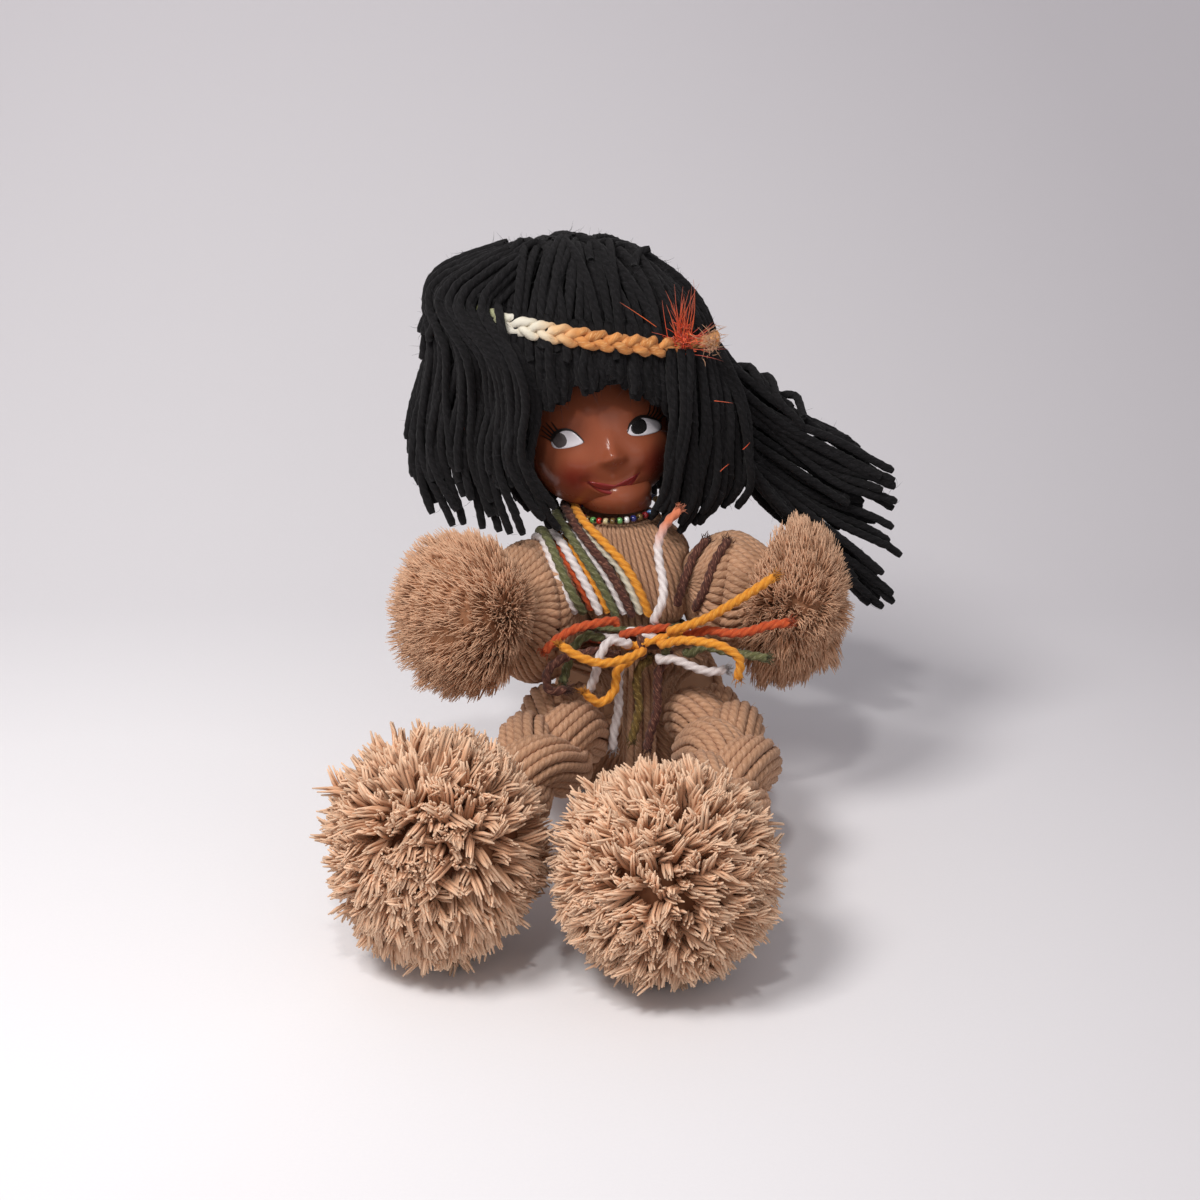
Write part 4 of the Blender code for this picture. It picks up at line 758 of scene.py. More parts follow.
# %% Many fine tubes at once
def fine_tubes(name, paths, radii, material, sides=3, by_share=False):
    """One mesh of tubes, closed at both ends. paths is strands x points x 3 and radii is strands x points. Its UV
    runs in centimetres along a tube, or by_share from 0 to 1."""
    strands, points, _ = paths.shape
    ahead = np.gradient(paths, axis=1)
    ahead /= np.maximum(np.linalg.norm(ahead, axis=2), 1e-9)[:, :, None]
    helper = np.where(np.abs(ahead[:, :1, 2:3]) > 0.9, np.array([1.0, 0, 0]), np.array([0, 0, 1.0]))
    first = np.cross(ahead, np.broadcast_to(helper, ahead.shape))
    first /= np.maximum(np.linalg.norm(first, axis=2), 1e-9)[:, :, None]
    second = np.cross(ahead, first)
    angle = 2 * math.pi * np.arange(sides) / sides
    rings = (
        paths[:, :, None, :]
        + first[:, :, None, :] * (radii[:, :, None] * np.cos(angle))[..., None]
        + second[:, :, None, :] * (radii[:, :, None] * np.sin(angle))[..., None]
    )
    index = np.arange(strands * points * sides).reshape(strands, points, sides)
    low, high = index[:, :-1], index[:, 1:]
    quads = np.stack([low, np.roll(low, -1, axis=2), np.roll(high, -1, axis=2), high], axis=-1).reshape(-1, 4)
    ends = np.concatenate([index[:, 0, ::-1], index[:, -1]])
    mesh = bpy.data.meshes.new(name)
    mesh.vertices.add(rings.size // 3)
    mesh.vertices.foreach_set("co", rings.ravel())
    mesh.loops.add(quads.size + ends.size)
    mesh.loops.foreach_set("vertex_index", np.concatenate([quads.ravel(), ends.ravel()]).astype(np.int32))
    mesh.polygons.add(len(quads) + len(ends))
    starts = np.concatenate([np.arange(len(quads)) * 4, quads.size + np.arange(len(ends)) * sides])
    mesh.polygons.foreach_set("loop_start", starts.astype(np.int32))
    mesh.update(calc_edges=True)
    mesh.validate()
    share = np.broadcast_to(np.linspace(0, 1, points)[None, :, None], index.shape).ravel()
    length = np.linalg.norm(np.diff(paths, axis=1), axis=2).sum(axis=1) * 100
    if not by_share:
        share = share * np.repeat(length, points * sides)
    around = np.broadcast_to((np.arange(sides) / sides)[None, None, :], index.shape).ravel()
    corners = np.empty(len(mesh.loops), np.int32)
    mesh.loops.foreach_get("vertex_index", corners)
    layer = mesh.uv_layers.new(name="UVMap")
    layer.data.foreach_set("uv", np.column_stack([share[corners], around[corners]]).ravel())
    mesh.materials.append(material)
    mesh.shade_smooth()
    thing = bpy.data.objects.new(name, mesh)
    bpy.context.scene.collection.objects.link(thing)
    return thing


# %% Directions spread over a ball
def spread_ways(count, chance, jitter=0.5):
    """Directions spread evenly over a ball, each moved a little."""
    i = np.arange(count) + 0.5
    up = 1 - 2 * i / count
    turn = math.pi * (1 + 5**0.5) * i
    flat = np.sqrt(1 - up**2)
    ways = np.column_stack([flat * np.cos(turn), flat * np.sin(turn), up])
    ways += chance.normal(0, jitter / math.sqrt(count) * 2, ways.shape)
    return ways / np.linalg.norm(ways, axis=1)[:, None]


def square_to(ways, chance):
    """A random direction square to each given one."""
    other = np.cross(ways, chance.normal(size=ways.shape))
    return other / np.maximum(np.linalg.norm(other, axis=1), 1e-9)[:, None]


# %% Loose fibres
def bent_fibres(name, roots, ways, lengths, width, bend, material, seed, steps=5, by_share=False):
    """Fibres that start at roots, run along ways and bend sideways."""
    chance = np.random.default_rng(seed)
    ways = ways / np.linalg.norm(ways, axis=1)[:, None]
    sideways = square_to(ways, chance) * chance.uniform(0.2, 1.0, len(ways))[:, None] * bend
    t = np.linspace(0, 1, steps)
    paths = roots[:, None] + ways[:, None] * (lengths[:, None] * t)[..., None] + sideways[:, None] * (
        lengths[:, None] * t**2)[..., None]
    # No fibre goes through the floor that the doll sits on.
    paths[:, :, 2] = np.maximum(paths[:, :, 2], 0.0004)
    radii = np.broadcast_to(width / 2 * np.interp(t, [0, 0.7, 1], [1, 0.75, 0.2]), (len(ways), steps))
    return fine_tubes(name, paths, radii.copy(), material, by_share=by_share)


def fuzz_on(piece, count, seed, long, width, material):
    """Single fibres that stand out of the yarns of a piece, as on all brushed wool."""
    chance = np.random.default_rng(seed)
    spots, outs = np.empty(len(piece.data.vertices) * 3), np.empty(len(piece.data.vertices) * 3)
    piece.data.vertices.foreach_get("co", spots)
    piece.data.vertices.foreach_get("normal", outs)
    picks = chance.integers(0, len(piece.data.vertices), count)
    roots, outs = spots.reshape(-1, 3)[picks], outs.reshape(-1, 3)[picks]
    ways = outs + chance.normal(0, 0.8, outs.shape)
    ways[:, 2] = np.where(roots[:, 2] < 0.006, np.abs(ways[:, 2]), ways[:, 2])
    long = long * chance.uniform(0.35, 1.0, count)
    return bent_fibres(f"{piece.name}_fuzz", roots, ways, long, width, 0.9, material, seed, 3, by_share=True)


# The fuzz too runs from painted shade at its roots to a paler tip colour that is partly painted light.
tan_fuzz = pile_material("tan fuzz", (0.50, 0.28, 0.17), (0.62, 0.37, 0.24), (0.74, 0.48, 0.33))
black_fuzz = pile_material("black fuzz", (0.014, 0.013, 0.014), (0.030, 0.029, 0.031), (0.060, 0.058, 0.062), 0.1)
for piece, body, count in ((body_yarns, "torso", 1500), (left_arm, "arm_left", 1500), (right_arm, "arm_right", 1300),
                           (left_leg, "leg_left", 2000), (right_leg, "leg_right", 2000)):
    ride_as(fuzz_on(piece, count, 80 + count % 7, 0.0040, 0.00024, tan_fuzz), body, "tan_yarn")
print("fuzz on the tan yarns: 5 pieces")

# %% Frayed ends
for name, (width, material, slot, far_end, points) in CORDS.items():
    if width == BOW:
        chance = np.random.default_rng(len(name))
        end = np.array(points[-1])
        ahead = (end - np.array(points[-2])) / np.linalg.norm(end - np.array(points[-2]))
        roots = end - ahead * 0.0008 + chance.normal(0, 0.0010, (44, 3))
        ways = ahead + chance.normal(0, 0.42, (44, 3))
        fray = bent_fibres(f"fray_{name}", roots, ways, chance.uniform(0.0012, 0.0034, 44), 0.00042, 0.5, material, 5, 4)
        ride_as(fray, "torso", slot)
print("ends frayed")

# %% The foot pompoms
def foot_pompom(side, middle, size, toward, tufts, seed, strays=()):
    """Tufts of seven blunt strands each. strays are further tufts: a direction and how far it stands out."""
    chance = np.random.default_rng(seed)
    middle, size = np.array(middle), np.array(size)
    ways = spread_ways(tufts, chance, 0.8)
    ways = ways[ways @ np.array(toward.normalized()) < 0.93]
    tall = chance.normal(0.970, 0.030, len(ways)) + 0.06 * (chance.random(len(ways)) < 0.07)
    for way, reach in strays:
        way = np.array(way) / np.linalg.norm(way)
        ways, tall = np.vstack([ways, way]), np.append(tall, reach)
    count, each = len(ways), 7
    swirl = np.sin(ways[:, [1, 2, 0]] * np.array([5.0, 6.0, 4.0]) + chance.uniform(0, 6.28, 3))
    lean = square_to(ways, chance) * chance.uniform(0.03, 0.34, count)[:, None] + np.cross(ways, swirl) * 0.15
    lean[:, 2] -= 0.05
    steps = np.array([0.54, 0.76, 0.91, 1.0])
    open_up = np.array([0.80, 1.05, 1.0, 0.80])
    thick = np.array([0.00062, 0.00088, 0.00078, 0.00036])
    paths = np.zeros((count, each, len(steps), 3))
    radii = np.zeros((count, each, len(steps)))
    first = square_to(ways, chance)
    second = np.cross(ways, first)
    curl = square_to(ways, chance) * chance.uniform(0.0008, 0.0042, count)[:, None]
    turn = chance.uniform(0, 6.28, count)[:, None]
    for k in range(each):
        angle = 2 * math.pi * (k / each + chance.uniform(-0.06, 0.06, count))[:, None]
        apart = np.where(k == 0, 0.15, chance.uniform(0.45, 1.0, count))[:, None] * 0.0018
        long = tall * chance.uniform(0.90, 1.01, count)
        stray = square_to(ways, chance) * chance.uniform(0, 0.0014, count)[:, None]
        for j, step in enumerate(steps):
            way = ways + lean * step**2
            way /= np.linalg.norm(way, axis=1)[:, None]
            spin = (first * np.cos(angle + 0.8 * step) + second * np.sin(angle + 0.8 * step)) * apart
            paths[:, k, j] = (
                middle + way * size * (step * long)[:, None] + spin * open_up[j]
                + curl * np.sin(9 * step + turn) + stray * (step - 0.54) ** 2 * 5)
            radii[:, k, j] = thick[j] * chance.uniform(0.85, 1.15, count)
    paths = paths.reshape(-1, len(steps), 3)
    paths[:, :, 2] = np.maximum(paths[:, :, 2], 0.0007 + chance.uniform(0, 0.0012, len(paths))[:, None])
    pile = fine_tubes(f"foot_pile_{side}", paths, radii.reshape(-1, len(steps)), foot_pile, by_share=True)
    ride_as(pile, f"leg_{side}", "pompom_yarn", f"foot_pompom_{side}")
    return pile


LEFT_FOOT, RIGHT_FOOT = Vector((-0.084, -0.155, 0.0495)), Vector((0.008, -0.172, 0.047))
STRAYS = [((-0.62, 0.1, 0.62), 1.16), ((-0.55, 0.2, 0.72), 1.12), ((-0.85, 0.1, 0.38), 1.13), ((-0.98, 0.1, 0.05), 1.08),
          ((-0.75, -0.1, 0.55), 1.07), ((-0.35, 0.3, 0.85), 1.10), ((0.95, 0.0, -0.15), 1.05), ((-0.92, 0.2, 0.28), 1.10)]
left_foot = foot_pompom("left", LEFT_FOOT, (0.0470, 0.0485, 0.0500), LEFT_ANKLE - LEFT_FOOT, 1380, 11, STRAYS)
right_foot = foot_pompom("right", RIGHT_FOOT, (0.0480, 0.0465, 0.0480), RIGHT_ANKLE - RIGHT_FOOT, 1380, 12)
print("foot pile:", len(left_foot.data.polygons) * 2, "triangles")

# %% A ball behind a pile
def ball(name, middle, size, material, segments=32, rings=20):
    """A closed ellipsoid that stops light behind a pile."""
    deselect()
    bpy.ops.mesh.primitive_uv_sphere_add(segments=segments, ring_count=rings, radius=1.0)
    thing = bpy.context.object
    thing.name = thing.data.name = name
    thing.data.transform(Matrix.Translation(Vector(middle)) @ Matrix.Diagonal((*size, 1.0)))
    thing.data.materials.clear()
    thing.data.materials.append(material)
    thing.data.shade_smooth()
    deselect()
    return thing


# The foot hearts are coloured much darker than the pile: painted shade in the gaps between the tufts.
foot_shade = pile_material("foot heart", (0.14, 0.058, 0.029), (0.17, 0.072, 0.036), (0.20, 0.086, 0.043), 0.1)
for side, middle, size in (("left", LEFT_FOOT, 0.0335), ("right", RIGHT_FOOT, 0.0325)):
    ride_as(ball(f"foot_heart_{side}", middle, (size, size, size), foot_shade), f"leg_{side}", "pompom_yarn")

# %% [markdown]
# The hands are tied at the wrist end and brushed much finer, so their pile fans out of the wrist like a shaving
# brush and is clipped to a round outline.

# %% The hand pompoms
def hand_pompom(side, wrist, along, middle, size, strands, seed, back, lie):
    """Fine strands that leave the wrist and end at a clipped round outline. lie is how far they lie along it."""
    chance = np.random.default_rng(seed)
    middle, size, wrist = np.array(middle), np.array(size), np.array(wrist)
    along = np.array(along.normalized())
    ways = spread_ways(strands, chance, 0.9)
    inside = np.where(chance.random(len(ways)) < 0.35, chance.uniform(0.80, 0.97, len(ways)), chance.normal(0.99, 0.018, len(ways)))
    tips = middle + ways * size * inside[:, None]
    keep = (tips - wrist) @ along > -back
    tips, ways = tips[keep], ways[keep]
    knots = spread_ways(420, chance, 0.9)
    clump = np.array([int(np.argmax(knots @ way)) for way in ways])
    gather = chance.normal(0, 0.0016, (len(knots), 3))[clump]
    normal = ways / size
    normal /= np.linalg.norm(normal, axis=1)[:, None]
    flow = tips - wrist
    far = np.linalg.norm(flow, axis=1)[:, None]
    flow -= normal * (flow * normal).sum(axis=1)[:, None]
    flow *= np.minimum(1.0, 1.6 * np.linalg.norm(flow, axis=1)[:, None] / far) / np.maximum(np.linalg.norm(flow, axis=1), 1e-6)[:, None]
    arrive = normal * (1.15 - 0.75 * lie) + flow * lie + square_to(ways, chance) * 0.22
    arrive /= np.linalg.norm(arrive, axis=1)[:, None]
    root = wrist + along * 0.002 + (tips - wrist) * 0.08
    leave = root + ((tips - wrist) * 0.55 + normal * far * 0.32 + along * far * 0.10) * 0.55
    near = tips - arrive * far * 0.34
    steps = np.array([0.34, 0.60, 0.83, 1.0])
    paths = np.zeros((len(tips), len(steps), 3))
    radii = np.zeros((len(tips), len(steps)))
    wave = square_to(ways, chance) * chance.uniform(0, 0.0012, len(ways))[:, None]
    for j, t in enumerate(steps):
        paths[:, j] = (
            (1 - t) ** 3 * root + 3 * t * (1 - t) ** 2 * leave + 3 * t**2 * (1 - t) * near + t**3 * tips
            + gather * t + wave * math.sin(t * 5))
        radii[:, j] = (0.00042, 0.00046, 0.00036, 0.00012)[j] * chance.uniform(0.8, 1.2, len(tips))
    pile = fine_tubes(f"hand_pile_{side}", paths, radii, hand_pile, by_share=True)
    ride_as(pile, f"arm_{side}", "pompom_yarn", f"hand_pompom_{side}")
    return pile


LEFT_HAND, RIGHT_HAND = Vector((-0.0785, -0.046, 0.106)), Vector((0.062, -0.019, 0.102))
left_hand = hand_pompom(
    "left", LEFT_WRIST, LEFT_WRIST - LEFT_SHOULDER, LEFT_HAND, (0.0305, 0.032, 0.0375), 10500, 13, 0.0035, 0.72)
right_hand = hand_pompom(
    "right", RIGHT_WRIST, RIGHT_WRIST - RIGHT_SHOULDER, RIGHT_HAND, (0.0315, 0.034, 0.041), 15000, 14, 0.0015, 0.92)
print("hand pile:", len(left_hand.data.polygons) * 2, len(right_hand.data.polygons) * 2, "triangles")

# %% [markdown]
# A round heart fills each hand under its pile, so that no gap looks through it. It is coloured much darker than the
# pile: painted shade in the gaps between the strands.

# %% The hands' hearts
# Painted shade: the hearts' colours are darker than the hand pile's.
hand_shade = pile_material("hand heart", (0.28, 0.135, 0.072), (0.34, 0.17, 0.095), (0.40, 0.21, 0.12), 0.2)
for side, middle, size in (
    ("left", LEFT_HAND, (0.0247, 0.0259, 0.0307)), ("right", RIGHT_HAND + Vector((0.0065, -0.001, -0.001)), (0.0185, 0.0245, 0.0325)),
):
    ride_as(ball(f"hand_heart_{side}", middle, size, hand_shade), f"arm_{side}", "pompom_yarn")

# %% [markdown]
# ## The face
# The face is one blown shell of brown vinyl with soft puffed cheeks, a button nose and a smile. It starts as a
# flat grid that is wrapped on an egg, and small hills and hollows push its features out, before a Solidify
# modifier gives it its wall.

# %% The face's form
HEAD = Vector((-0.018, 0.018, 0.1655))
HEAD_TURN = Euler((math.radians(-12), math.radians(-10), math.radians(10)), "ZYX").to_matrix().to_4x4()
PLACE = Matrix.Translation(HEAD) @ HEAD_TURN
# each hill: across, up, half width, half height, how far out, in millimetres on the face
HILLS = [
    (-0.9, -6.2, 4.6, 3.8, 5.2), (-5.0, -7.2, 2.2, 2.0, 1.2), (3.4, -7.4, 2.2, 2.0, 1.2), (-1.0, -1.0, 3.4, 4.5, 1.6),
    (-16.5, -8.5, 9.0, 8.0, 2.6), (15.5, -8.5, 9.0, 8.0, 2.6), (-17.5, 5.0, 7.0, 5.0, -1.2), (16.5, 4.5, 7.5, 5.0, -1.2),
    (-1.0, 16.0, 14.0, 6.0, 0.8), (-0.8, -25.5, 9.0, 4.0, 1.5), (-13.4, -14.8, 2.4, 2.2, -0.9), (11.6, -15.4, 2.4, 2.2, -0.9),
    (-1.0, -12.8, 1.3, 2.2, -0.5),
]


def smile_line(x):
    return -21.0 + 0.038 * (x + 1.0) ** 2


def face_surface(x, up, depth):
    """How far out the face stands at places across and up, in millimetres, over the plain egg."""
    out = np.zeros_like(x)
    for at, height, wide, tall, rise in HILLS:
        out += rise * np.exp(-(((x - at) / wide) ** 2) - ((up - height) / tall) ** 2)
    line = smile_line(x)
    within = 1 / (1 + np.exp((np.abs(x + 1.0) - 10.5) * 0.9))
    out += within * 0.6 * np.exp(-(((up - line - 1.8) / 1.3) ** 2))
    out += within * 0.9 * np.exp(-(((up - line + 2.2) / 1.7) ** 2))
    out -= within * 0.6 * np.exp(-(((up - line) / 0.9) ** 2))
    return depth + out


# %% The face mask
deselect()
bpy.ops.mesh.primitive_grid_add(x_subdivisions=116, y_subdivisions=116, size=2.0)
mask = bpy.context.object
mask.name = mask.data.name = "face_shell"
grid = np.empty(len(mask.data.vertices) * 3)
mask.data.vertices.foreach_get("co", grid)
grid = grid.reshape(-1, 3)
across, up = grid[:, 0] * math.radians(88), grid[:, 1] * math.radians(86)
narrow = np.where(up > 0, np.cos(up), np.cos(up) ** 0.78)
flat_x = 33.5 * np.sin(across) * narrow
flat_z = np.where(up > 0, 41.0, 29.5) * np.sin(up)
flat_y = face_surface(flat_x, flat_z, 30.0 * np.cos(across) * narrow)
shaped = np.column_stack([flat_x, -flat_y, flat_z]) / 1000
mask.data.vertices.foreach_set("co", shaped.ravel())
mask.data.transform(PLACE)
wall = mask.modifiers.new("wall", "SOLIDIFY")
wall.thickness = 0.0012
wall.offset = -1
bpy.ops.object.modifier_apply(modifier="wall")
mask.data.shade_smooth()
only(mask)
bpy.ops.object.mode_set(mode="EDIT")
bpy.ops.mesh.select_all(action="SELECT")
bpy.ops.mesh.normals_make_consistent(inside=False)
bpy.ops.object.mode_set(mode="OBJECT")
deselect()
mask_tree = BVHTree.FromPolygons([v.co for v in mask.data.vertices], [tuple(p.vertices) for p in mask.data.polygons])
print("mask faces:", len(mask.data.polygons))

# %% The vinyl's colour
def soft_spot(group, position, centre, size):
    """A mask that fades out from a place on the face."""
    shifted = node(group, "ShaderNodeVectorMath", {0: position, 1: centre}, operation="SUBTRACT").outputs[0]
    scaled = node(group, "ShaderNodeVectorMath", {0: shifted, 1: size}, operation="DIVIDE").outputs[0]
    far = node(group, "ShaderNodeVectorMath", {0: scaled}, operation="LENGTH").outputs["Value"]
    return node(
        group, "ShaderNodeMapRange", {"Value": far, "From Min": 0.0, "From Max": 1.0, "To Min": 1.0, "To Max": 0.0},
        interpolation_type="SMOOTHSTEP",
    ).outputs[0]


def vinyl_material():
    material = bpy.data.materials.new("face vinyl")
    material.use_nodes = True
    tree = material.node_tree
    surface = tree.nodes["Principled BSDF"]
    places = node(tree, "ShaderNodeTexCoord").outputs["Object"]
    turned = node(tree, "ShaderNodeMapping", {
        "Vector": places, "Location": HEAD, "Rotation": HEAD_TURN.to_3x3().to_euler("XYZ")}, vector_type="TEXTURE")
    local = turned.outputs[0]
    cloud = node(tree, "ShaderNodeTexNoise", {"Vector": local, "Scale": 45.0, "Detail": 3.0}).outputs[0]
    colour = mix(tree, cloud, (0.235, 0.062, 0.030, 1), (0.315, 0.092, 0.045, 1))
    # The first two spots are the cheeks' painted blush. The last two darken the eye hollows: painted shade.
    for centre, size, tint, most in (
        ((-0.0175, -0.022, -0.0125), (0.013, 0.02, 0.0115), (0.17, 0.016, 0.012, 1), 0.85),
        ((0.0190, -0.020, -0.0120), (0.0125, 0.02, 0.0115), (0.20, 0.020, 0.016, 1), 0.75),
        ((-0.0175, -0.024, 0.0060), (0.012, 0.02, 0.009), (0.13, 0.035, 0.020, 1), 0.55),
        ((0.0165, -0.024, 0.0055), (0.012, 0.02, 0.009), (0.13, 0.035, 0.020, 1), 0.55),
    ):
        spot = soft_spot(tree, local, centre, size)
        colour = mix(tree, sum_of(tree, "MULTIPLY", spot, most), colour, tint)
    tree.links.new(colour, surface.inputs["Base Color"])
    grain = node(tree, "ShaderNodeTexNoise", {"Vector": local, "Scale": 900.0, "Detail": 2.0}).outputs[0]
    rough = node(tree, "ShaderNodeMapRange", {"Value": grain, "To Min": 0.14, "To Max": 0.22}).outputs[0]
    edge = node(tree, "ShaderNodeLayerWeight", {"Blend": 0.5}).outputs["Facing"]
    dull = sum_of(tree, "MULTIPLY", sum_of(tree, "MULTIPLY", edge, edge), 0.30)
    tree.links.new(sum_of(tree, "ADD", rough, dull), surface.inputs["Roughness"])
    bump = node(tree, "ShaderNodeBump", {"Height": grain, "Strength": 0.05, "Distance": 0.0002})
    tree.links.new(bump.outputs[0], surface.inputs["Normal"])
    surface.inputs["Subsurface Weight"].default_value = 0.06
    surface.inputs["Subsurface Radius"].default_value = (0.6, 0.2, 0.1)
    surface.inputs["Subsurface Scale"].default_value = 0.003
    surface.inputs["Specular IOR Level"].default_value = 0.22
    return material


mask.data.materials.append(vinyl_material())
ride_as(mask, "head", "moulded_face", "face_mask")
print("face painted")

# %% [markdown]
# ## Painted eyes, lashes and lips
# The paint is a thin film that stands on the vinyl. Each painted patch is an outline on the flat front of the
# face, filled with rings, pushed back on the shell by rays and given a slight thickness.

# %% Paint patches on the face
INTO = (HEAD_TURN.to_3x3() @ Vector((0, 1, 0))).normalized()


def on_face(x, up, lift):
    """The place on the shell behind a point of the face's front, given in millimetres, lifted off by lift."""
    start = PLACE @ Vector((x / 1000, -0.06, up / 1000))
    place, normal, _, _ = mask_tree.ray_cast(start, INTO)
    if place is None:
        return PLACE @ Vector((x / 1000, -0.01, up / 1000))
    if normal.dot(INTO) > 0:
        normal = -normal
    return place + normal * lift


def paint_material(name, colour, rough=0.22, second=None, scale=400.0):
    material = bpy.data.materials.new(name)
    material.use_nodes = True
    tree = material.node_tree
    surface = tree.nodes["Principled BSDF"]
    places = node(tree, "ShaderNodeTexCoord").outputs["Object"]
    cloud = node(tree, "ShaderNodeTexNoise", {"Vector": places, "Scale": scale, "Detail": 2.0}).outputs[0]
    tree.links.new(mix(tree, cloud, (*colour, 1), (*(second or colour), 1)), surface.inputs["Base Color"])
    surface.inputs["Roughness"].default_value = rough
    return material


def smooth_loop(points, count):
    rows = np.array(points, float)
    rows = np.vstack([rows, rows[:1]])
    padded = [rows[-2], *rows, rows[1]]
    dense = []
    for a, b, c, d in zip(padded, padded[1:], padded[2:], padded[3:]):
        for t in np.linspace(0, 1, 8, endpoint=False):
            dense.append(0.5 * (2 * b + (c - a) * t + (2 * a - 5 * b + 4 * c - d) * t**2 + (3 * b - 3 * c + d - a) * t**3))
    dense = np.array(dense + [rows[-1]])
    far = np.concatenate([[0], np.cumsum(np.linalg.norm(np.diff(dense, axis=0), axis=1))])
    at = np.linspace(0, far[-1], count, endpoint=False)
    return np.column_stack([np.interp(at, far, dense[:, k]) for k in range(2)])


def paint_patch(name, outline, lift, material, rings=7, count=44):
    """A thin film over a closed outline on the face."""
    edge = smooth_loop(outline, count)
    centre = edge.mean(axis=0)
    shape = bmesh.new()
    rows = []
    for j in range(1, rings + 1):
        share = j / rings
        drop = lift if j < rings else lift * 0.2
        rows.append([shape.verts.new(on_face(*(centre + (p - centre) * share), drop / 1000)) for p in edge])
    hub = shape.verts.new(on_face(*centre, lift / 1000))
    for i in range(count):
        shape.faces.new((hub, rows[0][i], rows[0][(i + 1) % count]))
        for low, high in zip(rows, rows[1:]):
            shape.faces.new((low[i], high[i], high[(i + 1) % count], low[(i + 1) % count]))
    mesh = bpy.data.meshes.new(name)
    shape.to_mesh(mesh)
    shape.free()
    thing = bpy.data.objects.new(name, mesh)
    bpy.context.scene.collection.objects.link(thing)
    only(thing)
    film = thing.modifiers.new("film", "SOLIDIFY")
    film.thickness = 0.0003
    film.offset = 0
    bpy.ops.object.modifier_apply(modifier="film")
    bpy.ops.object.mode_set(mode="EDIT")
    bpy.ops.mesh.select_all(action="SELECT")
    bpy.ops.mesh.normals_make_consistent(inside=False)
    bpy.ops.object.mode_set(mode="OBJECT")
    thing.data.materials.append(material)
    thing.data.shade_smooth()
    deselect()
    return ride_as(thing, "head", "moulded_face")


eye_white = paint_material("eye white", (0.66, 0.62, 0.66), 0.2, (0.74, 0.70, 0.74))
# The left iris is painted lighter grey than the right one: painted reflection on the same dark paint.
iris_left_paint_with_reflection = paint_material("iris grey", (0.045, 0.034, 0.034), 0.15, (0.10, 0.085, 0.085))
iris_right_paint = paint_material("iris dark", (0.010, 0.009, 0.009), 0.15, (0.022, 0.020, 0.020))
line_paint = paint_material("line paint", (0.012, 0.008, 0.008), 0.3, (0.02, 0.014, 0.012))
lip_paint = paint_material("lip paint", (0.24, 0.020, 0.022), 0.3, (0.29, 0.032, 0.030))
paint_patch("eye_white_left", [(-24.7, 4.7), (-22.9, 7.2), (-20.5, 8.9), (-17.6, 9.0), (-15.0, 7.4), (-12.9, 4.7),
            (-11.8, 2.7), (-14.4, 1.7), (-18.4, 1.2), (-22.1, 1.3), (-24.4, 2.2)], 0.10, eye_white)
paint_patch("eye_white_right", [(7.9, 3.9), (10.1, 6.5), (13.5, 8.1), (17.3, 8.0), (21.3, 6.2), (24.6, 4.3),
            (25.2, 1.9), (22.9, 0.5), (18.4, 0.3), (13.1, 0.7), (9.2, 1.8)], 0.10, eye_white)
paint_patch("iris_left", [(-24.3, 5.0), (-22.9, 7.3), (-20.8, 8.4), (-19.0, 7.2), (-18.2, 4.5), (-19.2, 2.3),
            (-21.1, 1.5), (-23.4, 2.2)], 0.20, iris_left_paint_with_reflection)
paint_patch("iris_right", [(9.7, 5.2), (11.3, 7.2), (14.2, 8.2), (16.9, 7.2), (17.9, 4.5), (17.2, 2.4), (14.7, 1.2),
            (11.5, 1.5), (9.8, 3.1)], 0.20, iris_right_paint)
print("eyes painted")

# %% Lid lines, lashes and lips
def paint_line(name, points, widths, material, lift=0.22):
    """A painted line on the face: a narrow film that follows points, as wide as widths say."""
    rows = np.array(points, float)
    t = np.linspace(0, 1, len(rows))
    fine = np.linspace(0, 1, 22)
    path, _ = even_route([(x, up, 0) for x, up in rows], 0.5)
    fine = np.linspace(0, 1, len(path))
    width = np.interp(fine, np.linspace(0, 1, len(widths)), widths)
    ahead = np.gradient(path[:, :2], axis=0)
    ahead /= np.linalg.norm(ahead, axis=1)[:, None]
    side = np.column_stack([-ahead[:, 1], ahead[:, 0]])
    edge = np.vstack([path[:, :2] + side * width[:, None] / 2, (path[:, :2] - side * width[:, None] / 2)[::-1]])
    shape = bmesh.new()
    count = len(path)
    verts = [shape.verts.new(on_face(*p, lift / 1000)) for p in edge]
    for i in range(count - 1):
        shape.faces.new((verts[i], verts[i + 1], verts[2 * count - 2 - i], verts[2 * count - 1 - i]))
    mesh = bpy.data.meshes.new(name)
    shape.to_mesh(mesh)
    shape.free()
    thing = bpy.data.objects.new(name, mesh)
    bpy.context.scene.collection.objects.link(thing)
    only(thing)
    film = thing.modifiers.new("film", "SOLIDIFY")
    film.thickness = 0.0003
    film.offset = 0
    bpy.ops.object.modifier_apply(modifier="film")
    bpy.ops.object.mode_set(mode="EDIT")
    bpy.ops.mesh.select_all(action="SELECT")
    bpy.ops.mesh.normals_make_consistent(inside=False)
    bpy.ops.object.mode_set(mode="OBJECT")
    thing.data.materials.append(material)
    deselect()
    return ride_as(thing, "head", "moulded_face")


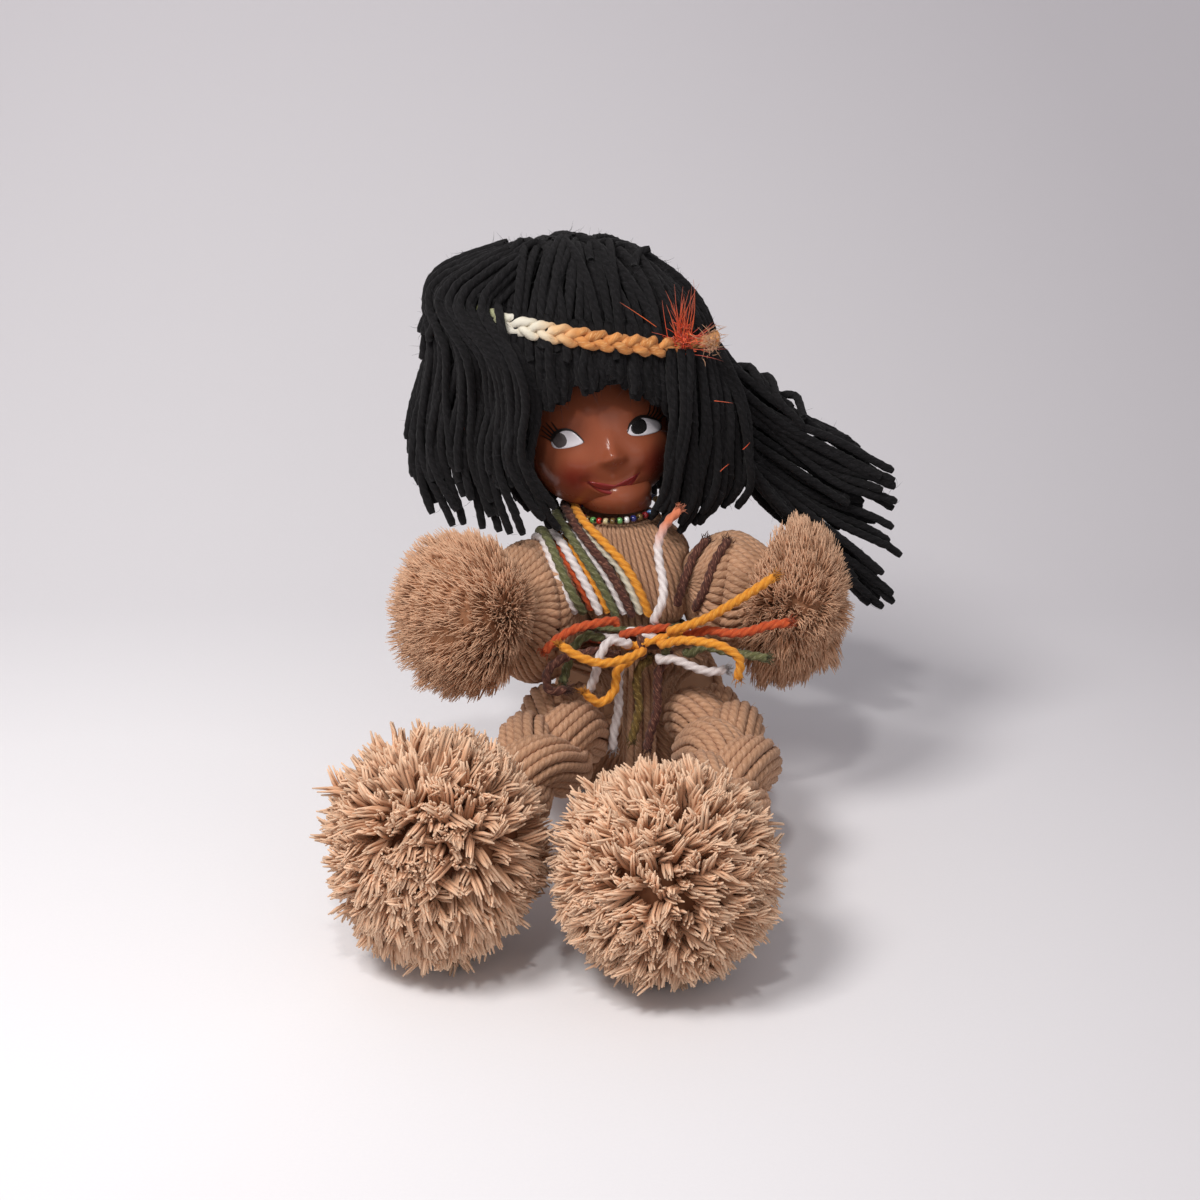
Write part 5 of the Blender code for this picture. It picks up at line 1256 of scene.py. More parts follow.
paint_line("lid_line_left", [(-24.7, 4.7), (-22.8, 7.8), (-20.1, 9.2), (-17.2, 9.1), (-14.7, 7.6), (-12.6, 4.8),
           (-11.6, 2.6)], [0.5, 1.5, 1.3, 0.9, 0.6, 0.5, 0.3], line_paint)
paint_line("lid_line_right", [(7.9, 3.5), (9.8, 6.6), (13.2, 8.4), (17.0, 8.4), (21.4, 6.5), (25.3, 4.1)],
           [0.3, 0.9, 1.3, 1.2, 0.8, 0.3], line_paint)
LASHES = {
    "left": [[(-24.6, 5.3), (-26.4, 6.7), (-28.2, 7.9)], [(-24.3, 6.5), (-26.1, 8.6), (-27.6, 10.6)],
             [(-23.6, 7.5), (-25.2, 9.9), (-26.7, 12.0)], [(-22.6, 8.3), (-24.1, 11.0), (-25.2, 13.2)],
             [(-21.2, 9.0), (-22.3, 11.3), (-23.1, 13.2)]],
    "right": [[(18.1, 7.9), (20.3, 10.0), (21.4, 13.2)], [(19.5, 7.5), (22.3, 9.5), (23.8, 12.4)],
              [(21.0, 6.8), (23.9, 8.8), (25.5, 11.2)], [(22.5, 6.1), (25.2, 7.5), (26.9, 9.4)],
              [(24.0, 5.0), (26.4, 5.9), (28.0, 7.3)]],
}
for side, lashes in LASHES.items():
    for number, points in enumerate(lashes):
        paint_line(f"lash_{side}_{number + 1}", points, [0.7, 0.5, 0.15], line_paint)
paint_patch("lips", [(-12.6, -14.9), (-8.8, -17.3), (-4.5, -18.9), (-1.5, -19.2), (1.5, -19.0), (6.8, -17.6), (10.6, -15.6),
            (7.8, -19.6), (3.4, -22.4), (-1.5, -23.2), (-6.0, -22.0), (-10.4, -18.6)], 0.06, lip_paint, 5, 52)
paint_line("smile", [(x, smile_line(x)) for x in (-13.0, -9, -5, -1, 3, 7, 11.0)], [0.2, 0.5, 0.55, 0.5, 0.2],
           paint_material("mouth line", (0.11, 0.010, 0.010), 0.4), 0.16)
print("lashes:", sum(len(v) for v in LASHES.values()))

# %% The neck's collar
deselect()
bpy.ops.mesh.primitive_cylinder_add(vertices=64, radius=0.0158, depth=0.013, end_fill_type="NOTHING",
                                    location=(-0.0105, 0.0065, 0.1455))
collar = bpy.context.object
collar.name = collar.data.name = "neck_collar"
bpy.ops.object.transform_apply(location=True, rotation=True, scale=True)
wall = collar.modifiers.new("wall", "SOLIDIFY")
wall.thickness = 0.0016
wall.offset = -1
bpy.ops.object.modifier_apply(modifier="wall")
collar.data.materials.append(mask.data.materials[0])
collar.data.shade_smooth()
ride_as(collar, "head", "moulded_face")

# %% [markdown]
# ## Inside the head and the neck
# A wound ball of yarn fills the mask, and a bound knob joins it to the body. They hardly show, but they are
# pieces of the doll, so they are wound as the rest is.

# %% The head's ball and the neck
core_tree = tree_of("head_core")
core_routes = []
for i in range(30):
    angle = 2 * math.pi * i / 30
    out = Vector((math.cos(angle), math.sin(angle), 0))
    route = []
    for t in np.linspace(-0.94, 0.94, 14):
        level = Vector((-0.018, 0.018, 0.175 + 0.030 * t))
        flat = math.sqrt(1 - t * t)
        hit = surface_hit(core_tree, level + out * 0.06, level)
        route.append(level + out * max(0.004, (hit - level).length - 0.0052))
    core_routes.append(route)
head_ball = lay_yarns("head_ball_yarns", core_routes, YARN * 1.3, tan_wool, coarse_ply, gap=0.003, seed=21)
ride_as(head_ball, "head", "tan_yarn", "head_core")
neck_routes = []
for k in range(5):
    up = -0.008 + 0.004 * k
    radius = math.sqrt(max(0.0, 0.0112**2 - up**2))
    middle = Vector((-0.010, 0.008, 0.139 + up))
    neck_routes.append(wind(middle, Vector((0, 0, 1)), max(radius, 0.004), 1.05, 0.0004, k))
neck_yarns = lay_yarns("neck_yarns", neck_routes, 0.0040, tan_wool, coarse_ply, seed=22)
ride_as(neck_yarns, "neck", "tan_yarn", "neck_knob")
print("neck turns:", len(neck_routes))

# %% [markdown]
# ## Hair
# The hair is about 300 lengths of thick black yarn. A few guide lines say how it falls, as a comb would, and the
# lengths between them are blended from the nearest guides. Each wanders a little, lies at its own depth and is
# cut at its own length, which gives the ragged ends and the small gaps that let the backdrop through.

# %% Comb yarns between guides
HAIR = 0.0041


def comb(guides, count, seed, depth=0.004, wander=0.002, shortest=0.86, later=0.0, places=None):
    """Routes between guide lines, each with its own depth, wander and length."""
    chance = np.random.default_rng(seed)
    lines = np.array([even_route(g, 0.001)[0][np.linspace(0, len(even_route(g, 0.001)[0]) - 1, 22).astype(int)] for g in guides])
    share = np.linspace(0, 1, 22)
    routes = []
    for i in range(count):
        at = ((i + chance.uniform(0.1, 0.9)) / count if places is None else places[i]) * (len(guides) - 1)
        low = min(int(at), len(guides) - 2)
        t = at - low
        line = lines[low] * (1 - t) + lines[low + 1] * t
        ahead = np.gradient(line, axis=0)
        ahead /= np.linalg.norm(ahead, axis=1)[:, None]
        across = lines[low + 1] - lines[low]
        across /= np.maximum(np.linalg.norm(across, axis=1), 1e-6)[:, None]
        out = np.cross(ahead, across)
        out /= np.maximum(np.linalg.norm(out, axis=1), 1e-6)[:, None]
        lift = chance.uniform(-depth, depth)
        phase = chance.uniform(0, 6.28, 3)
        sway = wander * (0.25 + 0.9 * share) * (
            np.sin(share * chance.uniform(3, 7) + phase[0]) + 0.4 * np.sin(share * 13 + phase[1]))
        bob = wander * 0.8 * np.sin(share * chance.uniform(3, 8) + phase[2])
        line = line + across * sway[:, None] + out * (lift + bob)[:, None]
        start = int(chance.uniform(0, later) * 21)
        end = max(start + 6, round(21 * chance.uniform(shortest, 1.0)))
        routes.append(line[start:end + 1])
    return routes


def hair(name, routes, seed, *nodes, width=HAIR, neck=None):
    piece = lay_yarns(name, routes, width, black_wool, coarse_ply, gap=0.0021, seed=seed, tip=0.75)
    fibres = fuzz_on(piece, 20 * len(routes), seed, 0.0070, 0.00018, black_fuzz)
    for part, replaced in ((piece, nodes), (fibres, ())):
        if neck is None:
            ride_as(part, "head", "black_yarn", *replaced)
            continue
        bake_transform(part)
        if replaced:
            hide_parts(*replaced)
    return piece


# %% The crown
CROWN = Vector((-0.033, 0.026, 0.198))
CROWN_SIZE = Vector((0.064, 0.048, 0.055))


def dome(angle, polar, grow=0.0):
    """A point on the dome of hair, at an angle round it and an angle down from its top."""
    size = CROWN_SIZE + Vector((1, 1, 1)) * grow
    return CROWN + Vector((
        size.x * math.sin(polar) * math.cos(angle), size.y * math.sin(polar) * math.sin(angle), size.z * math.cos(polar)))


RIDGE = 0.026  # half the length of the parting along the top


def crown_routes(count, seed, stop=1.50, grow=-0.001, cross=0.0):
    """Yarns that hang over the dome from a parting along its top. cross turns their feet away by chance."""
    chance = np.random.default_rng(seed)
    size = CROWN_SIZE + Vector((1, 1, 1)) * grow
    routes = []
    for i in range(count):
        angle = 2 * math.pi * (i + chance.uniform(-0.4, 0.4)) / count
        low = stop if math.sin(angle) > -0.1 else min(stop, 1.28)
        foot = dome(angle + chance.uniform(-cross, cross), low * chance.uniform(0.93, 1.02), grow) - CROWN
        start = Vector((RIDGE * math.cos(angle) + chance.normal(0, 0.003), chance.normal(0, 0.003), 0))
        phase, lift = chance.uniform(0, 6.28, 2), chance.uniform(-0.0012, 0.0018)
        wave = chance.uniform(0.0004, 0.0016)
        route = []
        for t in np.linspace(0, 1, 13):
            w = math.sin(t * math.pi / 2)
            x, y = start.x + (foot.x - start.x) * w, start.y + (foot.y - start.y) * w
            aside = wave * math.sin(5.5 * t + phase[0])
            x, y = x - aside * math.sin(angle), y + aside * math.cos(angle)
            level = 1 - (x / size.x) ** 2 - (y / size.y) ** 2
            if level > 0.02 and t < 0.93:
                place = Vector((x, y, size.z * math.sqrt(level)))
            else:
                place = foot.copy()
            out = Vector((place.x / size.x, place.y / size.y, place.z / size.z)).normalized()
            route.append(CROWN + place + out * (lift + wave * 0.8 * math.sin(4 * t + phase[1])))
        routes.append(route)
    return routes


crown = hair("crown_yarns", crown_routes(104, 31), 31, "hair_crown")
crown_top = hair("crown_over_yarns", crown_routes(54, 32, 1.36, 0.0016, 0.30), 32)
LOOSE_YARNS = [
    [(-.063, -.007, .235), (-.073, .001, .237), (-.082, .026, .232), (-.086, .026, .235)],
    [(-.073, -.001, .235), (-.080, .022, .232), (-.087, .026, .230), (-.091, .026, .225), (-.088, .026, .219), (-.079, .024, .221), (-.074, .006, .226)],
    [(-.072, -.005, .229), (-.080, .020, .221), (-.089, .024, .217), (-.093, .024, .212), (-.089, .023, .207), (-.081, .022, .210), (-.072, -.010, .217)],
    [(-.062, -.010, .235), (-.060, -.020, .228), (-.057, -.020, .215), (-.054, -.019, .194), (-.057, -.018, .176), (-.058, -.016, .165)],
    [(-.067, -.006, .236), (-.074, -.010, .220), (-.082, .002, .199), (-.087, .006, .186), (-.090, .008, .168), (-.095, .008, .150)],
    [(-.040, .006, .2500), (-.041, .014, .2525), (-.042, .020, .2535), (-.045, .022, .2550)],
    [(-.022, .008, .2500), (-.023, .015, .2530), (-.022, .020, .2540), (-.019, .021, .2556)],
    [(-.003, .010, .2465), (-.002, .017, .2495), (.000, .021, .2505), (.004, .022, .2518)],
]
hair("loose_crown_yarns", LOOSE_YARNS, 39)
print("crown:", len(crown.data.polygons) * 2, "triangles")

# %% A dark form under the hair
for name, cut_low, cut_back in (("hair_under_top", 0.2005, None), ("hair_under_back", 0.178, 0.010)):
    under = ball(name, CROWN, CROWN_SIZE - Vector((1, 1, 1)) * 0.0045, black_wool, 40, 24)
    only(under)
    bpy.ops.object.mode_set(mode="EDIT")
    bpy.ops.mesh.select_all(action="SELECT")
    bpy.ops.mesh.bisect(plane_co=(0, 0, cut_low), plane_no=(0, 0, -1), use_fill=True, clear_outer=True)
    if cut_back is not None:
        bpy.ops.mesh.select_all(action="SELECT")
        bpy.ops.mesh.bisect(plane_co=(0, cut_back, 0), plane_no=(0, -1, 0), use_fill=True, clear_outer=True)
    bpy.ops.object.mode_set(mode="OBJECT")
    deselect()
    ride_as(under, "head", "black_yarn")
print("under the hair: 2 forms")

# %% The fringe
FRINGE_GUIDES = []
for x, tip_z in ((-0.060, 0.182), (-0.052, 0.183), (-0.044, 0.184), (-0.038, 0.187), (-0.030, 0.196), (-0.021, 0.195),
                 (-0.0165, 0.203), (-0.0125, 0.202), (-0.008, 0.196), (0.000, 0.194), (0.006, 0.189), (0.012, 0.182)):
    flat = (x - CROWN.x) / CROWN_SIZE.x
    line = []
    for t in np.linspace(0, 1, 6):
        height = 0.2275 - 0.12 * (x + 0.018) + (tip_z - 0.2275) * t
        level = math.sqrt(max(0.02, 1 - flat**2 - ((height - CROWN.z) / CROWN_SIZE.z) ** 2))
        line.append((x + 0.002 * t, CROWN.y - CROWN_SIZE.y * level + 0.0005 + 0.0045 * t * t, height))
    FRINGE_GUIDES.append(line)
fringe = hair("fringe_yarns", comb(FRINGE_GUIDES, 44, 33, 0.0016, 0.0009, 0.9), 33, "hair_fringe")
fringe_under = hair("fringe_under_yarns", comb(FRINGE_GUIDES, 34, 34, 0.0030, 0.0012, 0.84), 34)
print("fringe yarns:", 78)

# %% The locks and the swept wing
LEFT_GUIDES = [
    [(-.076, .003, .234), (-.0945, .024, .208), (-.101, .026, .190), (-.105, .024, .172), (-.107, .022, .153)],
    [(-.074, .001, .236), (-.090, .016, .209), (-.096, .020, .189), (-.100, .019, .169), (-.099, .014, .149), (-.090, .008, .126)],
    [(-.071, .001, .237), (-.083, .005, .211), (-.087, .010, .185), (-.090, .008, .161), (-.082, .002, .130)],
    [(-.069, -.001, .238), (-.076, -.006, .213), (-.077, .000, .188), (-.079, .000, .161), (-.071, -.004, .130)],
    [(-.066, -.002, .238), (-.068, -.014, .214), (-.066, -.008, .191), (-.068, -.006, .163), (-.060, -.009, .130)],
    [(-.064, -.004, .238), (-.060, -.019, .215), (-.056, -.016, .193), (-.058, -.012, .165), (-.048, -.013, .133)],
    [(-.061, -.006, .238), (-.053, -.022, .215), (-.0470, -.020, .194), (-.0490, -.017, .169), (-.0415, -.015, .148), (-.032, -.013, .134)],
]
RIGHT_GUIDES = [
    [(.014, -.012, .216), (.0135, -.015, .192), (.0125, -.014, .170), (.010, -.011, .149), (.004, -.008, .134)],
    [(.022, -.002, .213), (.025, -.006, .191), (.027, -.005, .168), (.025, -.003, .143), (.017, -.002, .129)],
    [(.028, .006, .210), (.036, .001, .189), (.038, .001, .166), (.037, .002, .147), (.029, .004, .135)],
    [(.030, .010, .208), (.045, .008, .187), (.050, .009, .168), (.052, .010, .152), (.047, .011, .139)],
]
WING_GUIDES = [
    [(.000, .012, .240), (.022, .022, .215), (.034, .026, .203), (.054, .026, .187), (.073, .026, .171)],
    [(.004, .008, .232), (.027, .020, .201), (.054, .025, .182), (.082, .026, .166), (.105, .026, .152), (.123, .026, .143)],
    [(.006, .004, .226), (.027, .018, .191), (.054, .024, .168), (.087, .026, .148), (.110, .026, .139), (.124, .026, .130)],
    [(.008, .002, .220), (.026, .014, .186), (.050, .022, .159), (.083, .026, .134), (.106, .026, .122), (.123, .026, .112)],
    [(.010, .004, .215), (.026, .014, .183), (.045, .021, .153), (.074, .026, .124), (.098, .026, .104), (.118, .026, .088)],
    [(.020, .006, .208), (.034, .013, .181), (.046, .017, .157), (.064, .022, .131), (.088, .026, .104), (.121, .026, .073)],
    [(.026, .008, .206), (.040, .012, .182), (.051, .016, .161), (.062, .020, .142), (.076, .024, .122), (.092, .026, .101)],
]
BACK_GUIDES = [
    [(-.078, .040, .220), (-.090, .046, .195), (-.092, .050, .165), (-.084, .050, .140), (-.078, .048, .124)],
    [(-.062, .060, .215), (-.067, .067, .190), (-.069, .071, .165), (-.066, .070, .140), (-.063, .064, .120)],
    [(-.034, .069, .214), (-.033, .074, .190), (-.032, .076, .160), (-.031, .073, .135), (-.030, .068, .114)],
    [(-.004, .064, .214), (.002, .068, .190), (.006, .069, .165), (.004, .067, .142), (.002, .064, .120)],
    [(.016, .048, .212), (.026, .052, .192), (.030, .054, .168), (.030, .052, .145), (.028, .048, .126)],
]
OVER_BAND = ((0.42, 0.0000), (0.72, 0.0030), (0.98, 0.0050))
left_guides = [[dome(math.radians(a), polar, grow) for polar, grow in OVER_BAND] + guide[1:]
               for a, guide in zip((158, 172, 184, 196, 209, 223, 236), LEFT_GUIDES)]
hair("left_lock_yarns", comb(left_guides, 72, 35, 0.0036, 0.0032, 0.80), 35, "lock_left_front", "lock_left_side",
     "lock_left_outer", neck=((-.08, .01, .125), (-.07, .01, .190)))
hair("right_lock_yarns", comb(RIGHT_GUIDES, 40, 36, 0.0040, 0.0018, 0.88), 36, "lock_right_front",
     neck=((.02, .005, .128), (.015, .005, .190)))
hair("wing_yarns", comb(WING_GUIDES, 76, 37, 0.0080, 0.0034, 0.76), 37, "wing_upper", "wing_middle", "wing_lower",
     neck=((.100, .022, .105), (.025, .016, .195)))
hair("back_yarns", comb(BACK_GUIDES, 66, 38, 0.0055, 0.0022, 0.84), 38, "lock_back_left", "lock_back_middle",
     "lock_back_right", neck=((-.03, .06, .125), (-.03, .06, .190)))
CHEEK_GUIDES = {
    "left": [[(-.060, .004, .195), (-.060, .004, .170), (-.056, .004, .151), (-.048, .002, .141), (-.042, .000, .134)],
             [(-.053, .012, .190), (-.054, .012, .168), (-.051, .012, .151), (-.044, .010, .141), (-.039, .008, .135)],
             [(-.049, .021, .190), (-.050, .023, .165), (-.047, .023, .149), (-.041, .020, .140), (-.036, .018, .134)]],
    "right": [[(.021, .003, .190), (.022, .003, .168), (.020, .003, .151), (.015, .001, .142), (.012, -.001, .136)],
              [(.020, .012, .190), (.020, .012, .166), (.018, .012, .150), (.014, .010, .141), (.012, .009, .135)],
              [(.018, .022, .190), (.018, .024, .166), (.015, .024, .150), (.012, .021, .141), (.010, .019, .135)]],
}
for side, guides in CHEEK_GUIDES.items():
    hair(f"cheek_{side}_yarns", comb(guides, 30, 46, 0.0030, 0.0016, 0.84), 46, neck=((-.02, .01, .128), (-.02, .01, .190)))
print("locks combed")

# %% [markdown]
# ## Headband
# The band is a flat three-strand braid of plied cords, which changes from cream to orange. The same braid rule
# as for the legs is used, on a route round the crown of hair.

# %% The braided band
def band_place(angle):
    """A point of the band on the crown, which lies higher on the left and sinks under the locks there."""
    under_locks = np.clip((math.cos(angle - math.radians(191)) - 0.70) / 0.20, 0, 1)
    size = CROWN_SIZE + Vector((1, 1, 1)) * (0.0030 - 0.0055 * float(under_locks))
    height = 0.2195
    for _ in range(12):
        level = math.sqrt(max(0.0, 1 - ((height - CROWN.z) / size.z) ** 2))
        x, y = size.x * level * math.cos(angle), size.y * level * math.sin(angle)
        height = 0.2195 - 0.165 * x - 0.10 * y
    return Vector((CROWN.x + x, CROWN.y + y, height))


def band_material():
    """Cream on the left that turns to orange towards the right and the back."""
    material = wool("band wool", (0.70, 0.31, 0.10), (0.38, 0.12, 0.03), (0.88, 0.60, 0.30), 0.45, plies=2.0)
    tree = material.node_tree
    surface = tree.nodes["Principled BSDF"]
    group = next(n for n in tree.nodes if n.type == "GROUP")
    places = node(tree, "ShaderNodeTexCoord").outputs["Object"]
    x = node(tree, "ShaderNodeSeparateXYZ", {0: places}).outputs[0]
    wobble = node(tree, "ShaderNodeTexNoise", {"Vector": places, "Scale": 150.0}).outputs[0]
    shifted = sum_of(tree, "ADD", x, sum_of(tree, "MULTIPLY", wobble, 0.010))
    steps = tree.nodes.new("ShaderNodeValToRGB")
    tree.links.new(
        node(tree, "ShaderNodeMapRange", {"Value": shifted, "From Min": -0.065, "From Max": -0.015}).outputs[0],
        steps.inputs[0])
    ramp = steps.color_ramp
    for place, colour in ((0.0, (0.30, 0.32, 0.15, 1)), (0.12, (0.42, 0.43, 0.25, 1)), (0.24, (0.80, 0.76, 0.66, 1)),
                          (0.48, (0.78, 0.72, 0.58, 1)), (0.68, (0.80, 0.52, 0.28, 1)), (1.0, (0.72, 0.33, 0.10, 1))):
        (ramp.elements[0] if place == 0 else ramp.elements[-1] if place == 1 else ramp.elements.new(place)).color = colour
    tone = mix(tree, 0.62, steps.outputs[0], group.outputs["Colour"], "MULTIPLY")
    share = node(tree, "ShaderNodeMapRange", {"Value": shifted, "From Min": -0.03, "From Max": -0.02}).outputs[0]
    lighter = node(tree, "ShaderNodeVectorMath", {0: steps.outputs[0], 3: 0.92}, operation="SCALE").outputs[0]
    tree.links.new(mix(tree, share, lighter, group.outputs["Colour"]), surface.inputs["Base Color"])
    return material


band_path = np.array([tuple(band_place(2 * math.pi * i / 200)) for i in range(201)])
band_middle = np.array(CROWN)
outward = band_path - band_middle
outward[:, 2] *= 0.4
outward /= np.linalg.norm(outward, axis=1)[:, None]
ahead = np.gradient(band_path, axis=0)
ahead /= np.linalg.norm(ahead, axis=1)[:, None]
upward = np.cross(outward, ahead)
far = np.concatenate([[0], np.cumsum(np.linalg.norm(np.diff(band_path, axis=0), axis=1))])
cycles = round(far[-1] / 0.024)
strands = []
for k in range(3):
    turn = 2 * math.pi * (far / far[-1] * cycles + k / 3)
    strands.append(band_path + upward * (np.sin(turn) * 0.0027)[:, None] + outward * (np.sin(2 * turn) * 0.0013)[:, None])
band = lay_yarns("band_braid", strands, 0.0046, band_material(), ply_outline("two_ply", 2, 10, 0.22), gap=0.0012, pitch=0.011, tip=0.9)
ride_as(band, "head", "braid_yarn", "headband")
print("braid crossings:", cycles * 3)

# %% [markdown]
# ## Feather
# A tuft of dyed barbs is stuck behind the band. Each barb is a thin tapered tube that bends once.

# %% The feather's barbs
def barb_material():
    material = bpy.data.materials.new("feather red")
    material.use_nodes = True
    tree = material.node_tree
    surface = tree.nodes["Principled BSDF"]
    strand = node(tree, "ShaderNodeNewGeometry").outputs["Random Per Island"]
    along = node(tree, "ShaderNodeSeparateXYZ", {0: node(tree, "ShaderNodeUVMap").outputs[0]}).outputs[0]
    base = mix(tree, strand, (0.62, 0.030, 0.004, 1), (0.80, 0.13, 0.02, 1))
    tip = node(tree, "ShaderNodeMapRange", {"Value": along, "From Min": 0.6, "From Max": 2.4}).outputs[0]
    tree.links.new(mix(tree, tip, base, (0.42, 0.09, 0.05, 1)), surface.inputs["Base Color"])
    surface.inputs["Roughness"].default_value = 0.5
    surface.inputs["Sheen Weight"].default_value = 0.2
    return material


chance = np.random.default_rng(41)
base = np.array(band_place(math.radians(-38))) + np.array([0.0, -0.004, 0.0005])
fan = np.concatenate([chance.normal(0.05, 0.20, 26), chance.uniform(0.9, 1.75, 16), chance.uniform(-1.2, -0.4, 8)])
ways = np.column_stack([np.sin(fan), chance.normal(-0.12, 0.16, len(fan)), np.cos(fan) * 1.05])
lengths = np.where(np.abs(fan) < 0.45, chance.uniform(0.012, 0.026, len(fan)), chance.uniform(0.009, 0.020, len(fan)))
roots = base + chance.normal(0, 1, (len(fan), 3)) * np.array([0.0017, 0.0006, 0.0022]) + np.array([0, 0, 0.003])
red = barb_material()
feather = bent_fibres("feather_barbs", roots, ways, lengths, 0.00042, 0.22, red, 42)
ride_as(feather, "head", "feather_barbs", "feather")
stub_ways = np.column_stack([chance.normal(0, 0.5, 90), chance.normal(-0.5, 0.3, 90), chance.normal(0.4, 0.6, 90)])
stub = bent_fibres("feather_heart", base + chance.normal(0, 1, (90, 3)) * np.array([0.0016, 0.0007, 0.0042]) + np.array([0, 0, 0.004]),
                   stub_ways, chance.uniform(0.002, 0.0045, 90), 0.0008, 0.3, red, 43, 3)
ride_as(stub, "head", "feather_barbs")
STRAY_BARBS = [((.0315, -.017, .1940), (.0083, .002, -.0015)), ((.0447, -.012, .1701), (.0036, .002, .0022)),
               ((.0346, -.019, .1623), (.0035, .001, .0038)), ((-.0796, -.004, .1918), (.0009, .001, -.0199)),
               ((.006, -.024, .2290), (-.0150, .001, .0110))]
starts, runs = np.array([a for a, _ in STRAY_BARBS]), np.array([b for _, b in STRAY_BARBS])
strays = bent_fibres("stray_barbs", starts, runs, np.linalg.norm(runs, axis=1), 0.0004, 0.15, red, 44)
ride_as(strays, "head", "feather_barbs")
curls = chance.normal(0, 1, (90, 3)) * np.array([0.0018, 0.0012, 0.0026]) + np.array([0.0295, -0.0160, 0.2205])
ride_as(bent_fibres("band_end_fuzz", curls, chance.normal(0, 1, (90, 3)) + np.array([0.3, -0.6, 0.2]), chance.uniform(0.002, 0.0042, 90),
                    0.00034, 1.6, tan_fuzz, 45), "head", "braid_yarn")
print("barbs:", len(fan) + len(STRAY_BARBS))

# %% [markdown]
# ## Beads
# Seed beads are short glass tubes with round edges. One is modelled from a torus, and the others are copies that
# turn round the neck on a dark thread.

# %% The beads
def glass(name, colour, rough=0.12):
    material = bpy.data.materials.new(name)
    material.use_nodes = True
    tree = material.node_tree
    surface = tree.nodes["Principled BSDF"]
    places = node(tree, "ShaderNodeTexCoord").outputs["Object"]
    cloud = node(tree, "ShaderNodeTexNoise", {"Vector": places, "Scale": 500.0, "Detail": 2.0}).outputs[0]
    darker = tuple(c * 0.72 for c in colour)
    tree.links.new(mix(tree, cloud, (*darker, 1), (*colour, 1)), surface.inputs["Base Color"])
    surface.inputs["Roughness"].default_value = rough
    surface.inputs["Coat Weight"].default_value = 0.5
    surface.inputs["Coat Roughness"].default_value = 0.05
    return material


BEAD_GLASS = [
    glass("bead red", (0.48, 0.018, 0.014)), glass("bead cream", (0.66, 0.55, 0.30)), glass("bead green", (0.13, 0.36, 0.10)),
    glass("bead white", (0.74, 0.72, 0.70)), glass("bead dark blue", (0.025, 0.03, 0.17)),
    glass("bead amber", (0.16, 0.10, 0.03)), glass("bead dark red", (0.20, 0.008, 0.012)),
    glass("bead light blue", (0.16, 0.30, 0.60)), glass("bead pink", (0.62, 0.34, 0.30)),
]
FRONT_ORDER = [0, 1, 5, 2, 3, 4, 5, 6, 7, 8]
deselect()
bpy.ops.mesh.primitive_torus_add(major_radius=0.00092, minor_radius=0.00062, major_segments=20, minor_segments=10)
pattern = bpy.context.object
bpy.ops.object.mode_set(mode="EDIT")
bpy.ops.mesh.select_all(action="SELECT")
bpy.ops.transform.resize(value=(1.0, 1.0, 1.75), center_override=(0, 0, 0))
bpy.ops.object.mode_set(mode="OBJECT")
BEADS = 37
made = []
for i in range(BEADS):
    angle = 2 * math.pi * i / BEADS
    out = Vector((math.cos(angle), math.sin(angle), 0))
    place = Vector((-0.010, 0.008, 0.1362 + 0.09 * 0.0185 * math.cos(angle))) + out * 0.0185
    mesh = pattern.data.copy()
    turn = Matrix.Rotation(angle, 4, "Z") @ Matrix.Rotation(math.radians(90), 4, "X")
    wobble = Matrix.Rotation(0.12 * math.sin(i * 2.3), 4, "Z")
    mesh.transform(Matrix.Translation(place) @ wobble @ turn)
    front = i - 25
    kind = FRONT_ORDER[front] if 0 <= front < len(FRONT_ORDER) else (i * 5 + i // 3) % 9
    mesh.materials.append(BEAD_GLASS[kind])
    bead = bpy.data.objects.new(f"bead_{i}", mesh)
    bpy.context.scene.collection.objects.link(bead)
    made.append(bead)
bpy.data.objects.remove(pattern)
deselect()
for bead in made:
    bead.select_set(True)
bpy.context.view_layer.objects.active = made[0]
bpy.ops.object.join()
beads = bpy.context.object
beads.name = "bead_string"
beads.data.shade_smooth()
deselect()
ride_as(beads, "torso", "seed_beads", "bead_necklace")
ring = [(-0.010 + 0.0185 * math.cos(a), 0.008 + 0.0185 * math.sin(a), 0.1362 + 0.00167 * math.cos(a))
        for a in np.linspace(0, 2 * math.pi, 41)]
thread = lay_yarns("bead_thread", [ring], 0.0006, black_wool, coarse_ply, gap=0.0012, seed=51)
ride_as(thread, "torso", "seed_beads")
print("beads:", BEADS)

# %% [markdown]
# ## Waist and knot
# The sash yarns are wrapped round the waist and tied in front, where the crossing yarns make a small knot.

# %% The waist's turns
waist_turns = {"rust": rust_wool, "white": white_wool, "green": green_wool}
for turn, (word, material) in enumerate(waist_turns.items()):
    points = []
    for i in range(25):
        angle = 2 * math.pi * i / 24 + math.pi / 2
        height = 0.073 + 0.0036 * (turn + i / 24) - 0.36 * 0.036 * 0.7 * math.sin(angle)
        middle = Vector((
            np.interp(height, [0.066, 0.084, 0.1315], [-0.0005, -0.002, -0.0100]),
            np.interp(height, [0.0, 0.05, 0.066, 0.084, 0.113, 0.1315], [0.008, 0.0064, 0.0032, 0.0, 0.004, 0.008]),
            height))
        out = Vector((math.cos(angle), math.sin(angle), 0))
        hit = surface_hit(body_tree, middle + out * 0.09, middle)
        points.append(middle + out * ((hit - middle).length + 0.0026))
    wrap = lay_yarns(f"waist_turn_{word}", [points], 0.0031, material, seed=60 + turn)
    ride_as(wrap, "torso", f"{word}_yarn", "waist_wrap")
print("turns round the waist:", len(waist_turns))

